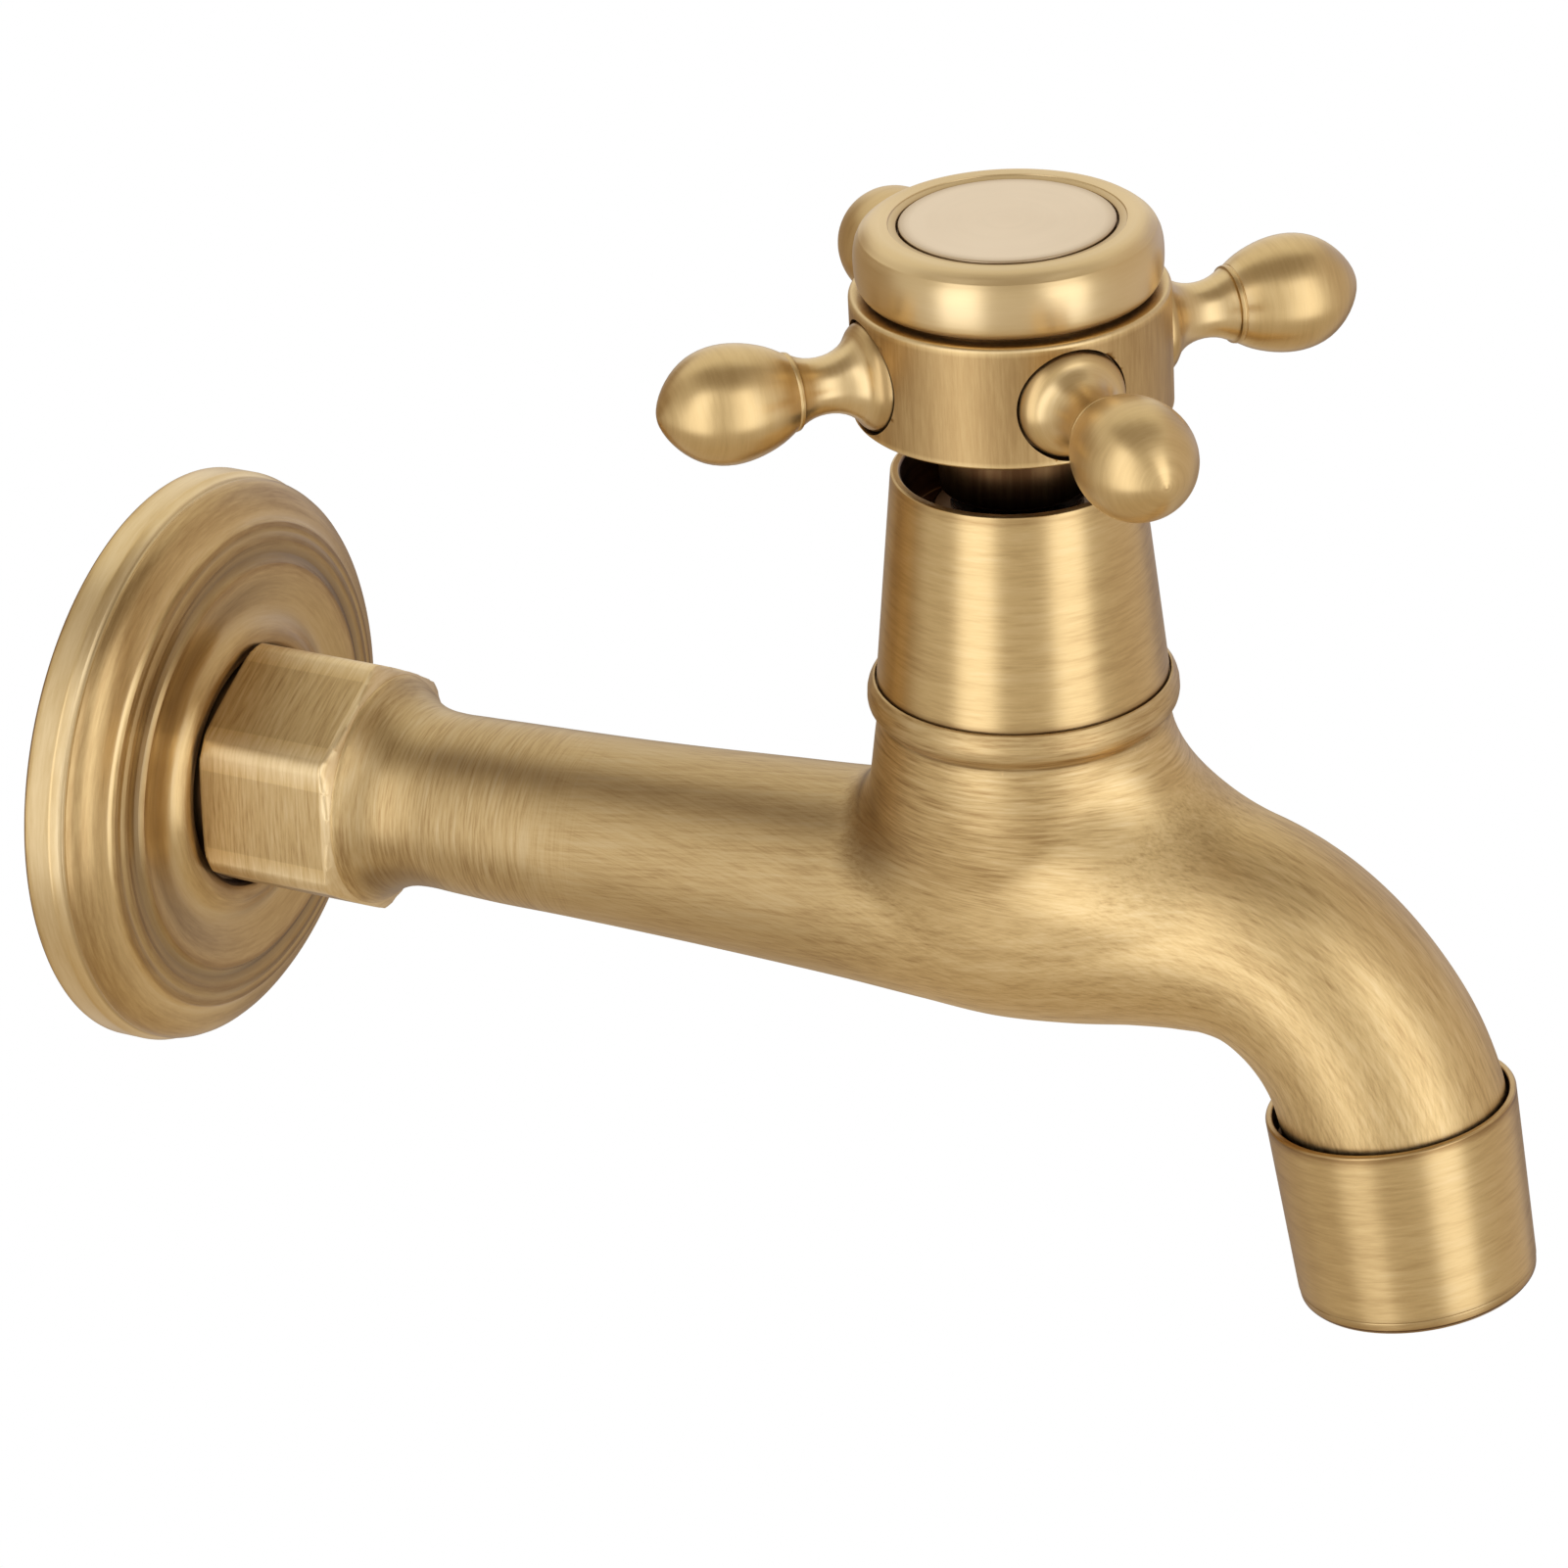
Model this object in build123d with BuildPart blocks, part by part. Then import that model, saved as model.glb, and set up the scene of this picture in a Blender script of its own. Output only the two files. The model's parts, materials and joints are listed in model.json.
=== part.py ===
from build123d import *
from math import cos, pi, radians, sin
import os

# A wall-mounted kitchen tap: a long tapering arm, a spout that turns down to an aerator, and a
# cross handle on a quarter-turn ceramic valve. Sizes are in millimetres.
# The origin is on the wall plane, at the centre of the inlet thread. +X points out of the wall
# along the arm and +Z points up. The tap is symmetric about Y = 0, apart from the handle.
# The handle is drawn shut, and opens as it turns anticlockwise, seen from above.

os.makedirs("parts", exist_ok=True)

# Main places
VALVE_X = 97.9              # valve axis, out from the wall
ARM_START_X = 27.0          # where the slim cone of the arm starts, inside the shoulder
ARM_START_R = 8.85
ARM_END_X = 84.0            # where the arm becomes the spout
ARM_END_Z = 1.25
ARM_END_R = 10.85
NOZZLE_X = 135.7            # centre of the sleeve's upper rim
NOZZLE_Z = -12.6
NOZZLE_TILT = 8.4           # the sleeve leans out by this angle
HANDLE_ANGLE = 48.4         # first arm of the handle, from +X

# Inlet thread, G 1/2
THREAD_MAJOR_R = 10.4775
THREAD_ROOT_R = 9.32
THREAD_PITCH = 1.814
THREAD_CREST = 0.45
THREAD_FLANK = 0.53
THREAD_TURNS = 6
THREAD_START = 0.35         # first crest, behind the wall plane
TAIL_LENGTH = 12.0
TAIL_RELIEF_R = 9.2
TAIL_BORE_R = 6.2

# Wall flange
FLANGE_R = 30.0
FLANGE_DROP = 0.4           # the flange hangs this low in its loose fit round the tail
FLANGE_BORE_R = 10.7
FLANGE_SEAT_X = 8.2         # where the body's shoulder clamps the flange
FLANGE_HOLE_R = 12.2
GASKET_R = 27.0
GASKET_INNER_R = 22.0
GASKET_THICK = 2.6

# Spanner hexagon and the shoulder after it
HEX_ACROSS_FLATS = 24.0
HEX_START = 9.95
HEX_END = 25.1
HEX_CONE = 0.7
SHOULDER_R = 12.05
SHOULDER_END_X = 31.0
SHOULDER_END_R = 8.3
CLAMP_R = 11.6

# Boss, bead and the valve chamber
BOSS_R = 14.1
BEAD_R = 15.1
BEAD_BOTTOM = 22.9
BEAD_TOP = 26.9
BOSS_TOP = 26.2
SEAT_Z = 7.6
PORT_R = 6.0
CHAMBER_R = 10.4
CHAMBER_TOP = 15.2
VALVE_THREAD_R = 10.2
O_RING_POCKET_R = 11.4
O_RING_POCKET_Z = 24.35
O_RING_SEAT_R = 9.7
O_RING_WIRE_R = 0.84
SEAT_SEAL_R = 7.5
SEAT_SEAL_HOLE_R = 6.1
BORE_NARROW_X = 70.0        # the inlet bore narrows from here to its inner end
BORE_END_X = 74.0
BORE_END_R = 5.5
PASSAGE_END_R = 7.2
LIP_R = 14.25

# Bell
BELL_BOTTOM_R = 14.1
BELL_TOP_R = 11.94
BELL_TOP = 48.33
BELL_WEB_Z = 40.4
BELL_WEB_THICK = 2.2
BELL_INNER_TOP_R = 10.9
BELL_INNER_BOTTOM_R = 12.8

# Cartridge
CAGE_R = 9.0
CAGE_BORE_R = 7.65
CAGE_BOTTOM = 7.9
CARTRIDGE_FLANGE_R = 12.2
CARTRIDGE_HEX = 20.4
CARTRIDGE_HEX_Z = 28.2
CARTRIDGE_NECK_Z = 34.0
CARTRIDGE_NECK_R = 8.2
CARTRIDGE_TOP = 44.5
SHANK_BORE_R = 4.66
CAGE_TOP = 18.7
WINDOW_Z = 11.9
WINDOW_HEIGHT = 3.0
WINDOW_WIDTH = 9.0
DISC_THICK = 2.5
FIXED_DISC_Z = 9.4
FIXED_DISC_R = 7.6
MOVING_DISC_R = 7.5
DISC_HOLE_R = 5.9
DISC_HUB_R = 1.7
DISC_HOLE_ANGLE = 76.0
DISC_KEY_R = 8.3            # two keys hold the fixed disc in slots of the cage
DISC_KEY_WIDTH = 2.0
STOP_Z = 16.2
STOP_HEIGHT = 1.8
STOP_LUG_ANGLE = 60.0
HANDLE_RANGE = 90.0
STOP_SLACK = 1.0            # spare turn at each end of the range, in degrees

# Spindle
SPINDLE_R = 4.6
SPINDLE_HUB_R = 5.4
SPINDLE_TOP = 57.0
GROOVE_R = 3.5
O_RING_GROOVES = (24.0, 29.0)
O_RING_GROOVE_HEIGHT = 1.4
CLIP_Z = 44.75
CLIP_THICK = 0.8
CLIP_GROOVE_R = 3.8
CLIP_R = 6.4
CLIP_ANGLE = 290.0
THRUST_WASHER_R = 7.4
THRUST_WASHER_THICK = 0.6
SPLINE_Z = 46.2
SPLINE_TEETH = 20
SPLINE_ROOT_R = 3.6
SPLINE_TIP_R = 4.0
SPLINE_WIDTH = 0.5
SPLINE_GAP = 0.05
SCREW_R = 1.95
SCREW_HOLE_DEPTH = 9.5
SCREW_BOTTOM = 48.0
SCREW_HEAD_R = 3.7
SCREW_HEAD_HEIGHT = 2.4
SCREW_SOCKET_R = 1.6
SCREW_SOCKET_DEPTH = 1.5
SCREW_WASHER_R = 4.6
SCREW_WASHER_THICK = 0.6

# Handle
HUB_R = 15.16
HUB_BOTTOM = 54.57
HUB_TOP = 66.55
HUB_EDGE = 0.2
HUB_NECK_R = 7.3
HUB_NECK_BOTTOM = 46.7
HUB_WEB_Z = 57.3
SCREW_SEAT_Z = 60.0
SCREW_RECESS_R = 8.4
CAP_RECESS_R = 12.5
CAP_RECESS_Z = 63.0
CAP_R = 14.5
CAP_BRIM_Z = 67.75
CAP_TOP = 73.4
CAP_FLAT_R = 12.3
CAP_SHOULDER_Z = 71.2
CAP_NECK_R = 12.9
CAP_INNER_R = 9.6
CAP_DECK_BOTTOM = 69.8
CAP_DECK_TOP = 71.0
BUTTON_R = 10.2
BUTTON_GROOVE_R = 10.45
BUTTON_STEP_R = 11.15
BUTTON_STEP = 0.15
BUTTON_SHELF_Z = 72.5
ARM_Z = 60.4
ARM_COUNT = 4
ARM_REACH = 35.55
POCKET_R = 5.5
POCKET_FLOOR = 13.2
STUD_R = 2.0
STUD_INNER = 9.4

# Nozzle sleeve and aerator, measured down the nozzle axis from the sleeve's upper rim
SLEEVE_LENGTH = 19.65
SLEEVE_TOP_R = 12.2
SLEEVE_BOTTOM_R = 11.62
SLEEVE_RIM_BORE = 11.5
SLEEVE_THREAD_START = 3.2
SPIGOT_R = 10.4
SPOUT_END_R = 11.02
SPIGOT_END = 9.2
SPIGOT_BORE_R = 8.2
AERATOR_BORE_R = 9.9
AERATOR_LIP = 18.2
AERATOR_LIP_R = 9.3
WASHER_THICK = 1.5
WATERWAY_R = 7.6
CUP_BORE_R = 8.5
CUP_SKIRT_R = 9.2
CUP_RECESS = 0.4            # the cup ends this far inside the sleeve's lower edge
SCREEN_R = 7.5
SCREEN_HOLE_R = 0.45
SCREEN_PITCH_R = 0.75
SCREEN_THICK = 0.5
GRID_R = 8.45
GRID_HOLE_R = 0.8
GRID_PITCH_R = 0.95
GRID_THICK = 2.4
GRID_RECESS = 0.8
HOLES_ACROSS = 7

# Working planes and axes
SIDE = Plane.XZ
INLET_AXIS = Axis.X
FLANGE_CENTRE = (0, 0, -FLANGE_DROP)
FLANGE_SIDE = Plane(origin=FLANGE_CENTRE, x_dir=(1, 0, 0), z_dir=(0, -1, 0))
FLANGE_AXIS = Axis(FLANGE_CENTRE, (1, 0, 0))
VALVE_SIDE = Plane(origin=(VALVE_X, 0, 0), x_dir=(1, 0, 0), z_dir=(0, -1, 0))
VALVE_AXIS = Axis((VALVE_X, 0, 0), (0, 0, 1))
tilt = radians(NOZZLE_TILT)
nozzle_down = Vector(sin(tilt), 0, -cos(tilt))
nozzle_top = Vector(NOZZLE_X, 0, NOZZLE_Z)
NOZZLE_SIDE = Plane(origin=nozzle_top, x_dir=(cos(tilt), 0, sin(tilt)), z_dir=(0, -1, 0))
NOZZLE_AXIS = Axis(nozzle_top, nozzle_down)


def level(height):
    """The horizontal plane at a height, centred on the valve axis."""
    return Plane(origin=(VALVE_X, 0, height))


def nozzle_level(distance):
    """The plane square to the nozzle, a distance down from the sleeve's upper rim."""
    return Plane(origin=nozzle_top + nozzle_down * distance, x_dir=(0, 1, 0), z_dir=nozzle_down)


def outline(plane, points):
    """A closed outline of straight lines, as a face to turn about an axis."""
    with BuildSketch(plane) as shape:
        with BuildLine():
            Polyline(*points, close=True)
        make_face()
    return shape.sketch


def down(points):
    """Outline points for the nozzle, from (radius, distance down the nozzle)."""
    return [(radius, -distance) for radius, distance in points]


def sector(plane, inner, outer, middle, angle):
    """A ring sector on a plane, centred on the direction middle and angle degrees wide."""
    first = middle - angle / 2
    with BuildSketch(plane) as shape:
        with BuildLine():
            outer_arc = CenterArc((0, 0), outer, first, angle)
            inner_arc = CenterArc((0, 0), inner, first, angle)
            Line(inner_arc @ 0, outer_arc @ 0)
            Line(inner_arc @ 1, outer_arc @ 1)
        make_face()
    return shape.sketch


def finish(part, name):
    """Label a finished piece and write it."""
    part.label = name
    export_step(part, f"parts/{name}.step")


# Stations down the spout: distance from the wall, height, and radius
SPOUT_STATIONS = [
    (ARM_END_X, ARM_END_Z, ARM_END_R),
    (92.0, 1.75, 11.75),
    (102.0, 2.75, 12.25),
    (111.0, 3.9, 11.85),
    (118.5, 3.65, 11.2),
    (124.8, 1.7, 10.7),
    (130.15, -2.3, 10.62),
    (133.75, -7.3, 10.78),
]
station_points = [(x, 0, z) for x, z, radius in SPOUT_STATIONS] + [tuple(nozzle_top)]
station_radii = [radius for x, z, radius in SPOUT_STATIONS] + [SPOUT_END_R]
arm_root = Vector(ARM_START_X, 0, 0)
arm_end = Vector(ARM_END_X, 0, ARM_END_Z)
arm_out = (arm_end - arm_root).normalized()
spout_line = Spline(*station_points, tangents=[tuple(arm_out), tuple(nozzle_down)])

# Stations of the water passage from the valve chamber to the nozzle
PASSAGE_STATIONS = [
    (106.4, 11.1, 3.9),
    (112.0, 9.1, 4.4),
    (118.0, 5.8, 5.2),
    (124.0, 0.9, 5.8),
    (129.0, -3.9, 6.2),
    (132.6, -8.2, 6.6),
]
passage_points = [(x, 0, z) for x, z, radius in PASSAGE_STATIONS] + [tuple(nozzle_top)]
passage_radii = [radius for x, z, radius in PASSAGE_STATIONS] + [PASSAGE_END_R]
passage_line = Spline(*passage_points, tangents=[(0.95, 0, -0.3), tuple(nozzle_down)])

# The boss widens towards the spout as it comes down: height, half length along the arm, half
# width, and how far its centre moves towards the spout
BOSS_STATIONS = [
    (BEAD_BOTTOM + 0.6, BOSS_R, BOSS_R, 0.0),
    (20.0, 14.6, 14.2, 0.3),
    (16.5, 16.6, 14.3, 1.3),
    (12.5, 20.4, 13.8, 3.0),
    (8.0, 25.0, 12.4, 4.6),
    (1.5, 29.0, 8.5, 5.4),
]


def stations_on(line, points):
    """Planes square to a line at the given points."""
    places = [line.param_at_point(Vector(*point)) for point in points]
    return [Plane(origin=line @ u, x_dir=(0, 1, 0), z_dir=line % u) for u in places]


# Spanner hexagon, with its corners turned off at both ends
with BuildPart() as hexagon:
    hex_radius = HEX_ACROSS_FLATS / 2 / cos(pi / 6)
    with BuildSketch(Plane.YZ.offset(HEX_START)):
        RegularPolygon(hex_radius, 6, rotation=30)
    extrude(amount=HEX_END - HEX_START)
    corner_start = hex_radius - 0.45
    revolve(outline(SIDE, [
        (HEX_START, 0), (HEX_START, corner_start), (HEX_START + 0.35, hex_radius + 0.1),
        (HEX_END - HEX_CONE, hex_radius + 0.1), (HEX_END, SHOULDER_R - 0.1), (HEX_END, 0)]),
        axis=INLET_AXIS, mode=Mode.INTERSECT)

# The arm as a slim cone that rises a little, and the spout as a smooth round tube
with BuildPart() as tube:
    arm_length = (arm_end - arm_root).length
    revolve(outline(Plane(origin=arm_root, x_dir=arm_out, z_dir=(0, -1, 0)), [
        (0, 0), (0, ARM_START_R), (arm_length, ARM_END_R), (arm_length, 0)]),
        axis=Axis(arm_root, arm_out))
    for plane, radius in zip(stations_on(spout_line, station_points), station_radii):
        with BuildSketch(plane):
            Circle(radius)
    loft()

# The boss under the bead
with BuildPart() as boss:
    for height, half_length, half_width, shift in BOSS_STATIONS:
        with BuildSketch(Plane(origin=(VALVE_X + shift, 0, height))):
            Ellipse(half_length, half_width)
    loft()

# The passage from the valve chamber to the nozzle
with BuildPart() as passage:
    for plane, radius in zip(stations_on(passage_line, passage_points), passage_radii):
        with BuildSketch(plane):
            Circle(radius)
    loft()

# Body: one brass casting
with BuildPart() as body:
    thread = []
    for turn in range(THREAD_TURNS):
        front = -(THREAD_START + turn * THREAD_PITCH)
        back = front - THREAD_CREST
        thread += [(front + THREAD_FLANK, THREAD_ROOT_R), (front, THREAD_MAJOR_R),
                   (back, THREAD_MAJOR_R), (back - THREAD_FLANK, THREAD_ROOT_R)]
    revolve(outline(SIDE, [
        (HEX_START, 0), (HEX_START, CLAMP_R), (FLANGE_SEAT_X, CLAMP_R),
        (FLANGE_SEAT_X, TAIL_RELIEF_R), (0.6, TAIL_RELIEF_R), *thread,
        (-TAIL_LENGTH, THREAD_ROOT_R - 0.7), (-TAIL_LENGTH, 0)]), axis=INLET_AXIS)
    add(hexagon.part)
    with BuildSketch(SIDE):
        with BuildLine():
            Polyline((SHOULDER_END_X, SHOULDER_END_R), (SHOULDER_END_X, 0), (HEX_END - 2, 0),
                     (HEX_END - 2, SHOULDER_R), (HEX_END, SHOULDER_R))
            Spline((HEX_END, SHOULDER_R), (26.1, 11.25), (27.3, 10.3), (28.6, 9.55),
                   (SHOULDER_END_X, SHOULDER_END_R), tangents=[(1, -0.6), (1, -0.55)])
        make_face()
    revolve(axis=INLET_AXIS)
    add(tube.part)
    add(boss.part)
    # Bead and the boss's flat top
    with BuildSketch(VALVE_SIDE):
        with BuildLine():
            Polyline((BOSS_R, BEAD_BOTTOM), (0, BEAD_BOTTOM), (0, BOSS_TOP), (LIP_R, BOSS_TOP),
                     (LIP_R, BEAD_TOP - 0.1), (LIP_R + 0.15, BEAD_TOP))
            ThreePointArc((LIP_R + 0.15, BEAD_TOP), (BEAD_R, (BEAD_BOTTOM + BEAD_TOP) / 2),
                          (BOSS_R, BEAD_BOTTOM))
        make_face()
    revolve(axis=VALVE_AXIS)
    # Spigot inside the nozzle sleeve
    revolve(outline(NOZZLE_SIDE, down([
        (0, -1.5), (SPIGOT_R, -1.5), (SPIGOT_R, SPIGOT_END), (0, SPIGOT_END)])),
        axis=NOZZLE_AXIS)
    # Inlet bore, its round inner end, and the port up to the seat
    revolve(outline(SIDE, [
        (-TAIL_LENGTH, 0), (-TAIL_LENGTH, TAIL_BORE_R), (BORE_NARROW_X, TAIL_BORE_R),
        (BORE_END_X, BORE_END_R), (VALVE_X, BORE_END_R), (VALVE_X, 0)]),
        axis=INLET_AXIS, mode=Mode.SUBTRACT)
    revolve(outline(VALVE_SIDE, [
        (0, -4.5), (3.5, -4.2), (PORT_R, -1.0), (PORT_R, SEAT_Z), (CHAMBER_R, SEAT_Z),
        (CHAMBER_R, CHAMBER_TOP), (VALVE_THREAD_R, CHAMBER_TOP), (VALVE_THREAD_R, O_RING_POCKET_Z),
        (O_RING_POCKET_R, O_RING_POCKET_Z), (O_RING_POCKET_R, BOSS_TOP), (0, BOSS_TOP)]),
        axis=VALVE_AXIS, mode=Mode.SUBTRACT)
    # Water passage and the bore of the spigot
    add(passage.part, mode=Mode.SUBTRACT)
    revolve(outline(NOZZLE_SIDE, down([
        (0, -0.2), (PASSAGE_END_R, -0.2), (SPIGOT_BORE_R, 2.0), (SPIGOT_BORE_R, SPIGOT_END),
        (0, SPIGOT_END)])), axis=NOZZLE_AXIS, mode=Mode.SUBTRACT)
finish(body.part, "body")

# Wall flange: a lip, a quarter round, two ridges, a cove, a dish and a collar round the hexagon
with BuildPart() as wall_flange:
    with BuildSketch(FLANGE_SIDE):
        with BuildLine():
            Polyline((0.3, FLANGE_R), (0, FLANGE_R - 0.3), (0, 27.6), (5.0, 27.0), (6.0, 24.6),
                     (6.4, 22.0), (6.4, FLANGE_BORE_R), (FLANGE_SEAT_X, FLANGE_BORE_R),
                     (FLANGE_SEAT_X, FLANGE_HOLE_R), (8.9, FLANGE_HOLE_R))
            ThreePointArc((8.9, FLANGE_HOLE_R), (9.3, 13.7), (8.3, 15.7))
            Polyline((8.3, 15.7), (8.3, 20.7), (8.6, 21.0), (8.45, 21.3))
            ThreePointArc((8.45, 21.3), (7.75, 22.3), (8.25, 23.3))
            Polyline((8.25, 23.3), (8.45, 23.6), (8.1, 24.1), (8.0, 24.7))
            ThreePointArc((8.0, 24.7), (8.3, 25.1), (7.8, 25.5))
            Spline((7.8, 25.5), (7.3, 26.2), (7.1, 27.0), tangents=[(-1, 1), (-0.05, 1)])
            Line((7.1, 27.0), (7.0, 27.2))
            ThreePointArc((7.0, 27.2), (6.1, 28.9), (4.4, 29.5))
            Polyline((4.4, 29.5), (3.9, 29.3), (3.5, 29.35), (3.3, FLANGE_R - 0.2),
                     (3.1, FLANGE_R), (0.3, FLANGE_R))
        make_face()
    revolve(axis=FLANGE_AXIS)
finish(wall_flange.part, "wall_flange")

# Soft ring inside the flange's rim
with BuildPart() as flange_gasket:
    with BuildSketch(Plane(origin=FLANGE_CENTRE, x_dir=(0, 1, 0), z_dir=(1, 0, 0))):
        Circle(GASKET_R)
        Circle(GASKET_INNER_R, mode=Mode.SUBTRACT)
    extrude(amount=GASKET_THICK)
finish(flange_gasket.part, "flange_gasket")

# Bell over the cartridge, with an inner web that screws onto the cartridge's neck
with BuildPart() as bonnet_shroud:
    web_top = BELL_WEB_Z + BELL_WEB_THICK
    revolve(outline(VALVE_SIDE, [
        (BELL_BOTTOM_R, BOSS_TOP), (BELL_BOTTOM_R, BEAD_TOP), (BELL_TOP_R, BELL_TOP - 0.3),
        (BELL_TOP_R - 0.3, BELL_TOP), (BELL_INNER_TOP_R, BELL_TOP),
        (BELL_INNER_TOP_R - 0.25, BELL_TOP - 0.3), (BELL_INNER_TOP_R, web_top),
        (CARTRIDGE_NECK_R, web_top), (CARTRIDGE_NECK_R, BELL_WEB_Z),
        (BELL_INNER_TOP_R + 0.3, BELL_WEB_Z), (BELL_INNER_BOTTOM_R - 0.1, CARTRIDGE_HEX_Z + 0.2),
        (BELL_INNER_BOTTOM_R, BOSS_TOP)]), axis=VALVE_AXIS)
finish(bonnet_shroud.part, "bonnet_shroud")

# Cartridge body: cage for the discs, thread, shoulder, hexagon and neck
with BuildPart() as cartridge_body:
    revolve(outline(VALVE_SIDE, [
        (0, CAGE_BOTTOM), (CAGE_R, CAGE_BOTTOM), (CAGE_R, CHAMBER_TOP),
        (VALVE_THREAD_R, CHAMBER_TOP), (VALVE_THREAD_R, 24.0), (O_RING_SEAT_R, O_RING_POCKET_Z),
        (O_RING_SEAT_R, BOSS_TOP), (CARTRIDGE_FLANGE_R, BOSS_TOP), (CARTRIDGE_FLANGE_R, CARTRIDGE_HEX_Z),
        (CARTRIDGE_NECK_R, CARTRIDGE_HEX_Z), (CARTRIDGE_NECK_R, CARTRIDGE_TOP - 0.4),
        (CARTRIDGE_NECK_R - 0.4, CARTRIDGE_TOP), (0, CARTRIDGE_TOP)]), axis=VALVE_AXIS)
    with BuildSketch(level(CARTRIDGE_HEX_Z)):
        RegularPolygon(CARTRIDGE_HEX / 2 / cos(pi / 6), 6)
    extrude(amount=CARTRIDGE_NECK_Z - CARTRIDGE_HEX_Z)
    revolve(outline(VALVE_SIDE, [
        (0, CAGE_BOTTOM), (CAGE_BORE_R, CAGE_BOTTOM), (CAGE_BORE_R, CAGE_TOP),
        (SHANK_BORE_R, CAGE_TOP), (SHANK_BORE_R, CARTRIDGE_TOP), (0, CARTRIDGE_TOP)]),
        axis=VALVE_AXIS, mode=Mode.SUBTRACT)
    # Two windows that let the water out to the sides, and slots for the fixed disc's keys
    with BuildSketch(level(WINDOW_Z)):
        Rectangle(WINDOW_WIDTH, 2 * CAGE_R + 2)
    extrude(amount=WINDOW_HEIGHT, mode=Mode.SUBTRACT)
    with BuildSketch(level(CAGE_BOTTOM)):
        Rectangle(2 * (DISC_KEY_R + 0.1), DISC_KEY_WIDTH + 0.1)
    extrude(amount=FIXED_DISC_Z + DISC_THICK - CAGE_BOTTOM, mode=Mode.SUBTRACT)
    # The stop that the spindle's lug turns against
    stop_gap = HANDLE_RANGE + STOP_LUG_ANGLE + 2 * STOP_SLACK
    extrude(sector(level(STOP_Z + 0.1), SPINDLE_HUB_R + 0.1, CAGE_BORE_R + 0.4,
                   HANDLE_RANGE / 2 + 180, 360 - stop_gap), amount=STOP_HEIGHT - 0.2)
finish(cartridge_body.part, "cartridge_body")

# O-ring under the cartridge's shoulder
with BuildPart() as cartridge_o_ring:
    with BuildSketch(VALVE_SIDE):
        with Locations(((O_RING_SEAT_R + O_RING_POCKET_R) / 2, (O_RING_POCKET_Z + BOSS_TOP) / 2)):
            Circle(O_RING_WIRE_R)
    revolve(axis=VALVE_AXIS)
finish(cartridge_o_ring.part, "cartridge_o_ring")

# Rubber ring that presses on the valve seat
with BuildPart() as seat_seal:
    with BuildSketch(level(SEAT_Z)):
        Circle(SEAT_SEAL_R)
        Circle(SEAT_SEAL_HOLE_R, mode=Mode.SUBTRACT)
    extrude(amount=FIXED_DISC_Z - SEAT_Z)
finish(seat_seal.part, "seat_seal")

# Fixed ceramic disc, with two openings across the arm and two keys along it
with BuildPart() as fixed_disc:
    with BuildSketch(level(FIXED_DISC_Z)):
        Circle(FIXED_DISC_R)
        Rectangle(2 * DISC_KEY_R, DISC_KEY_WIDTH)
    extrude(amount=DISC_THICK)
    for middle in (90, 270):
        extrude(sector(level(FIXED_DISC_Z), DISC_HUB_R, DISC_HOLE_R, middle, DISC_HOLE_ANGLE),
                amount=DISC_THICK, mode=Mode.SUBTRACT)
finish(fixed_disc.part, "fixed_disc")

# Moving ceramic disc: two lobes that cover the fixed disc's openings when the tap is shut, with
# open notches between them, and two slots on top for the spindle's driving lugs
MOVING_DISC_Z = FIXED_DISC_Z + DISC_THICK
MOVING_DISC_TOP = MOVING_DISC_Z + DISC_THICK
DRIVE_LUG = (2.0, 2.6, 1.2)
DRIVE_LUG_PLACE = 5.4
with BuildPart() as moving_disc:
    with BuildSketch(level(MOVING_DISC_Z)):
        Circle(MOVING_DISC_R)
    extrude(amount=DISC_THICK)
    for middle in (0, 180):
        extrude(sector(level(MOVING_DISC_Z), DISC_HUB_R, MOVING_DISC_R + 1, middle,
                       DISC_HOLE_ANGLE), amount=DISC_THICK, mode=Mode.SUBTRACT)
    with BuildSketch(level(MOVING_DISC_TOP)):
        with Locations((0, DRIVE_LUG_PLACE), (0, -DRIVE_LUG_PLACE)):
            Rectangle(DRIVE_LUG[0] + 0.1, DRIVE_LUG[1] + 0.1)
    extrude(amount=-(DRIVE_LUG[2] + 0.1), mode=Mode.SUBTRACT)
finish(moving_disc.part, "moving_disc")

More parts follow.
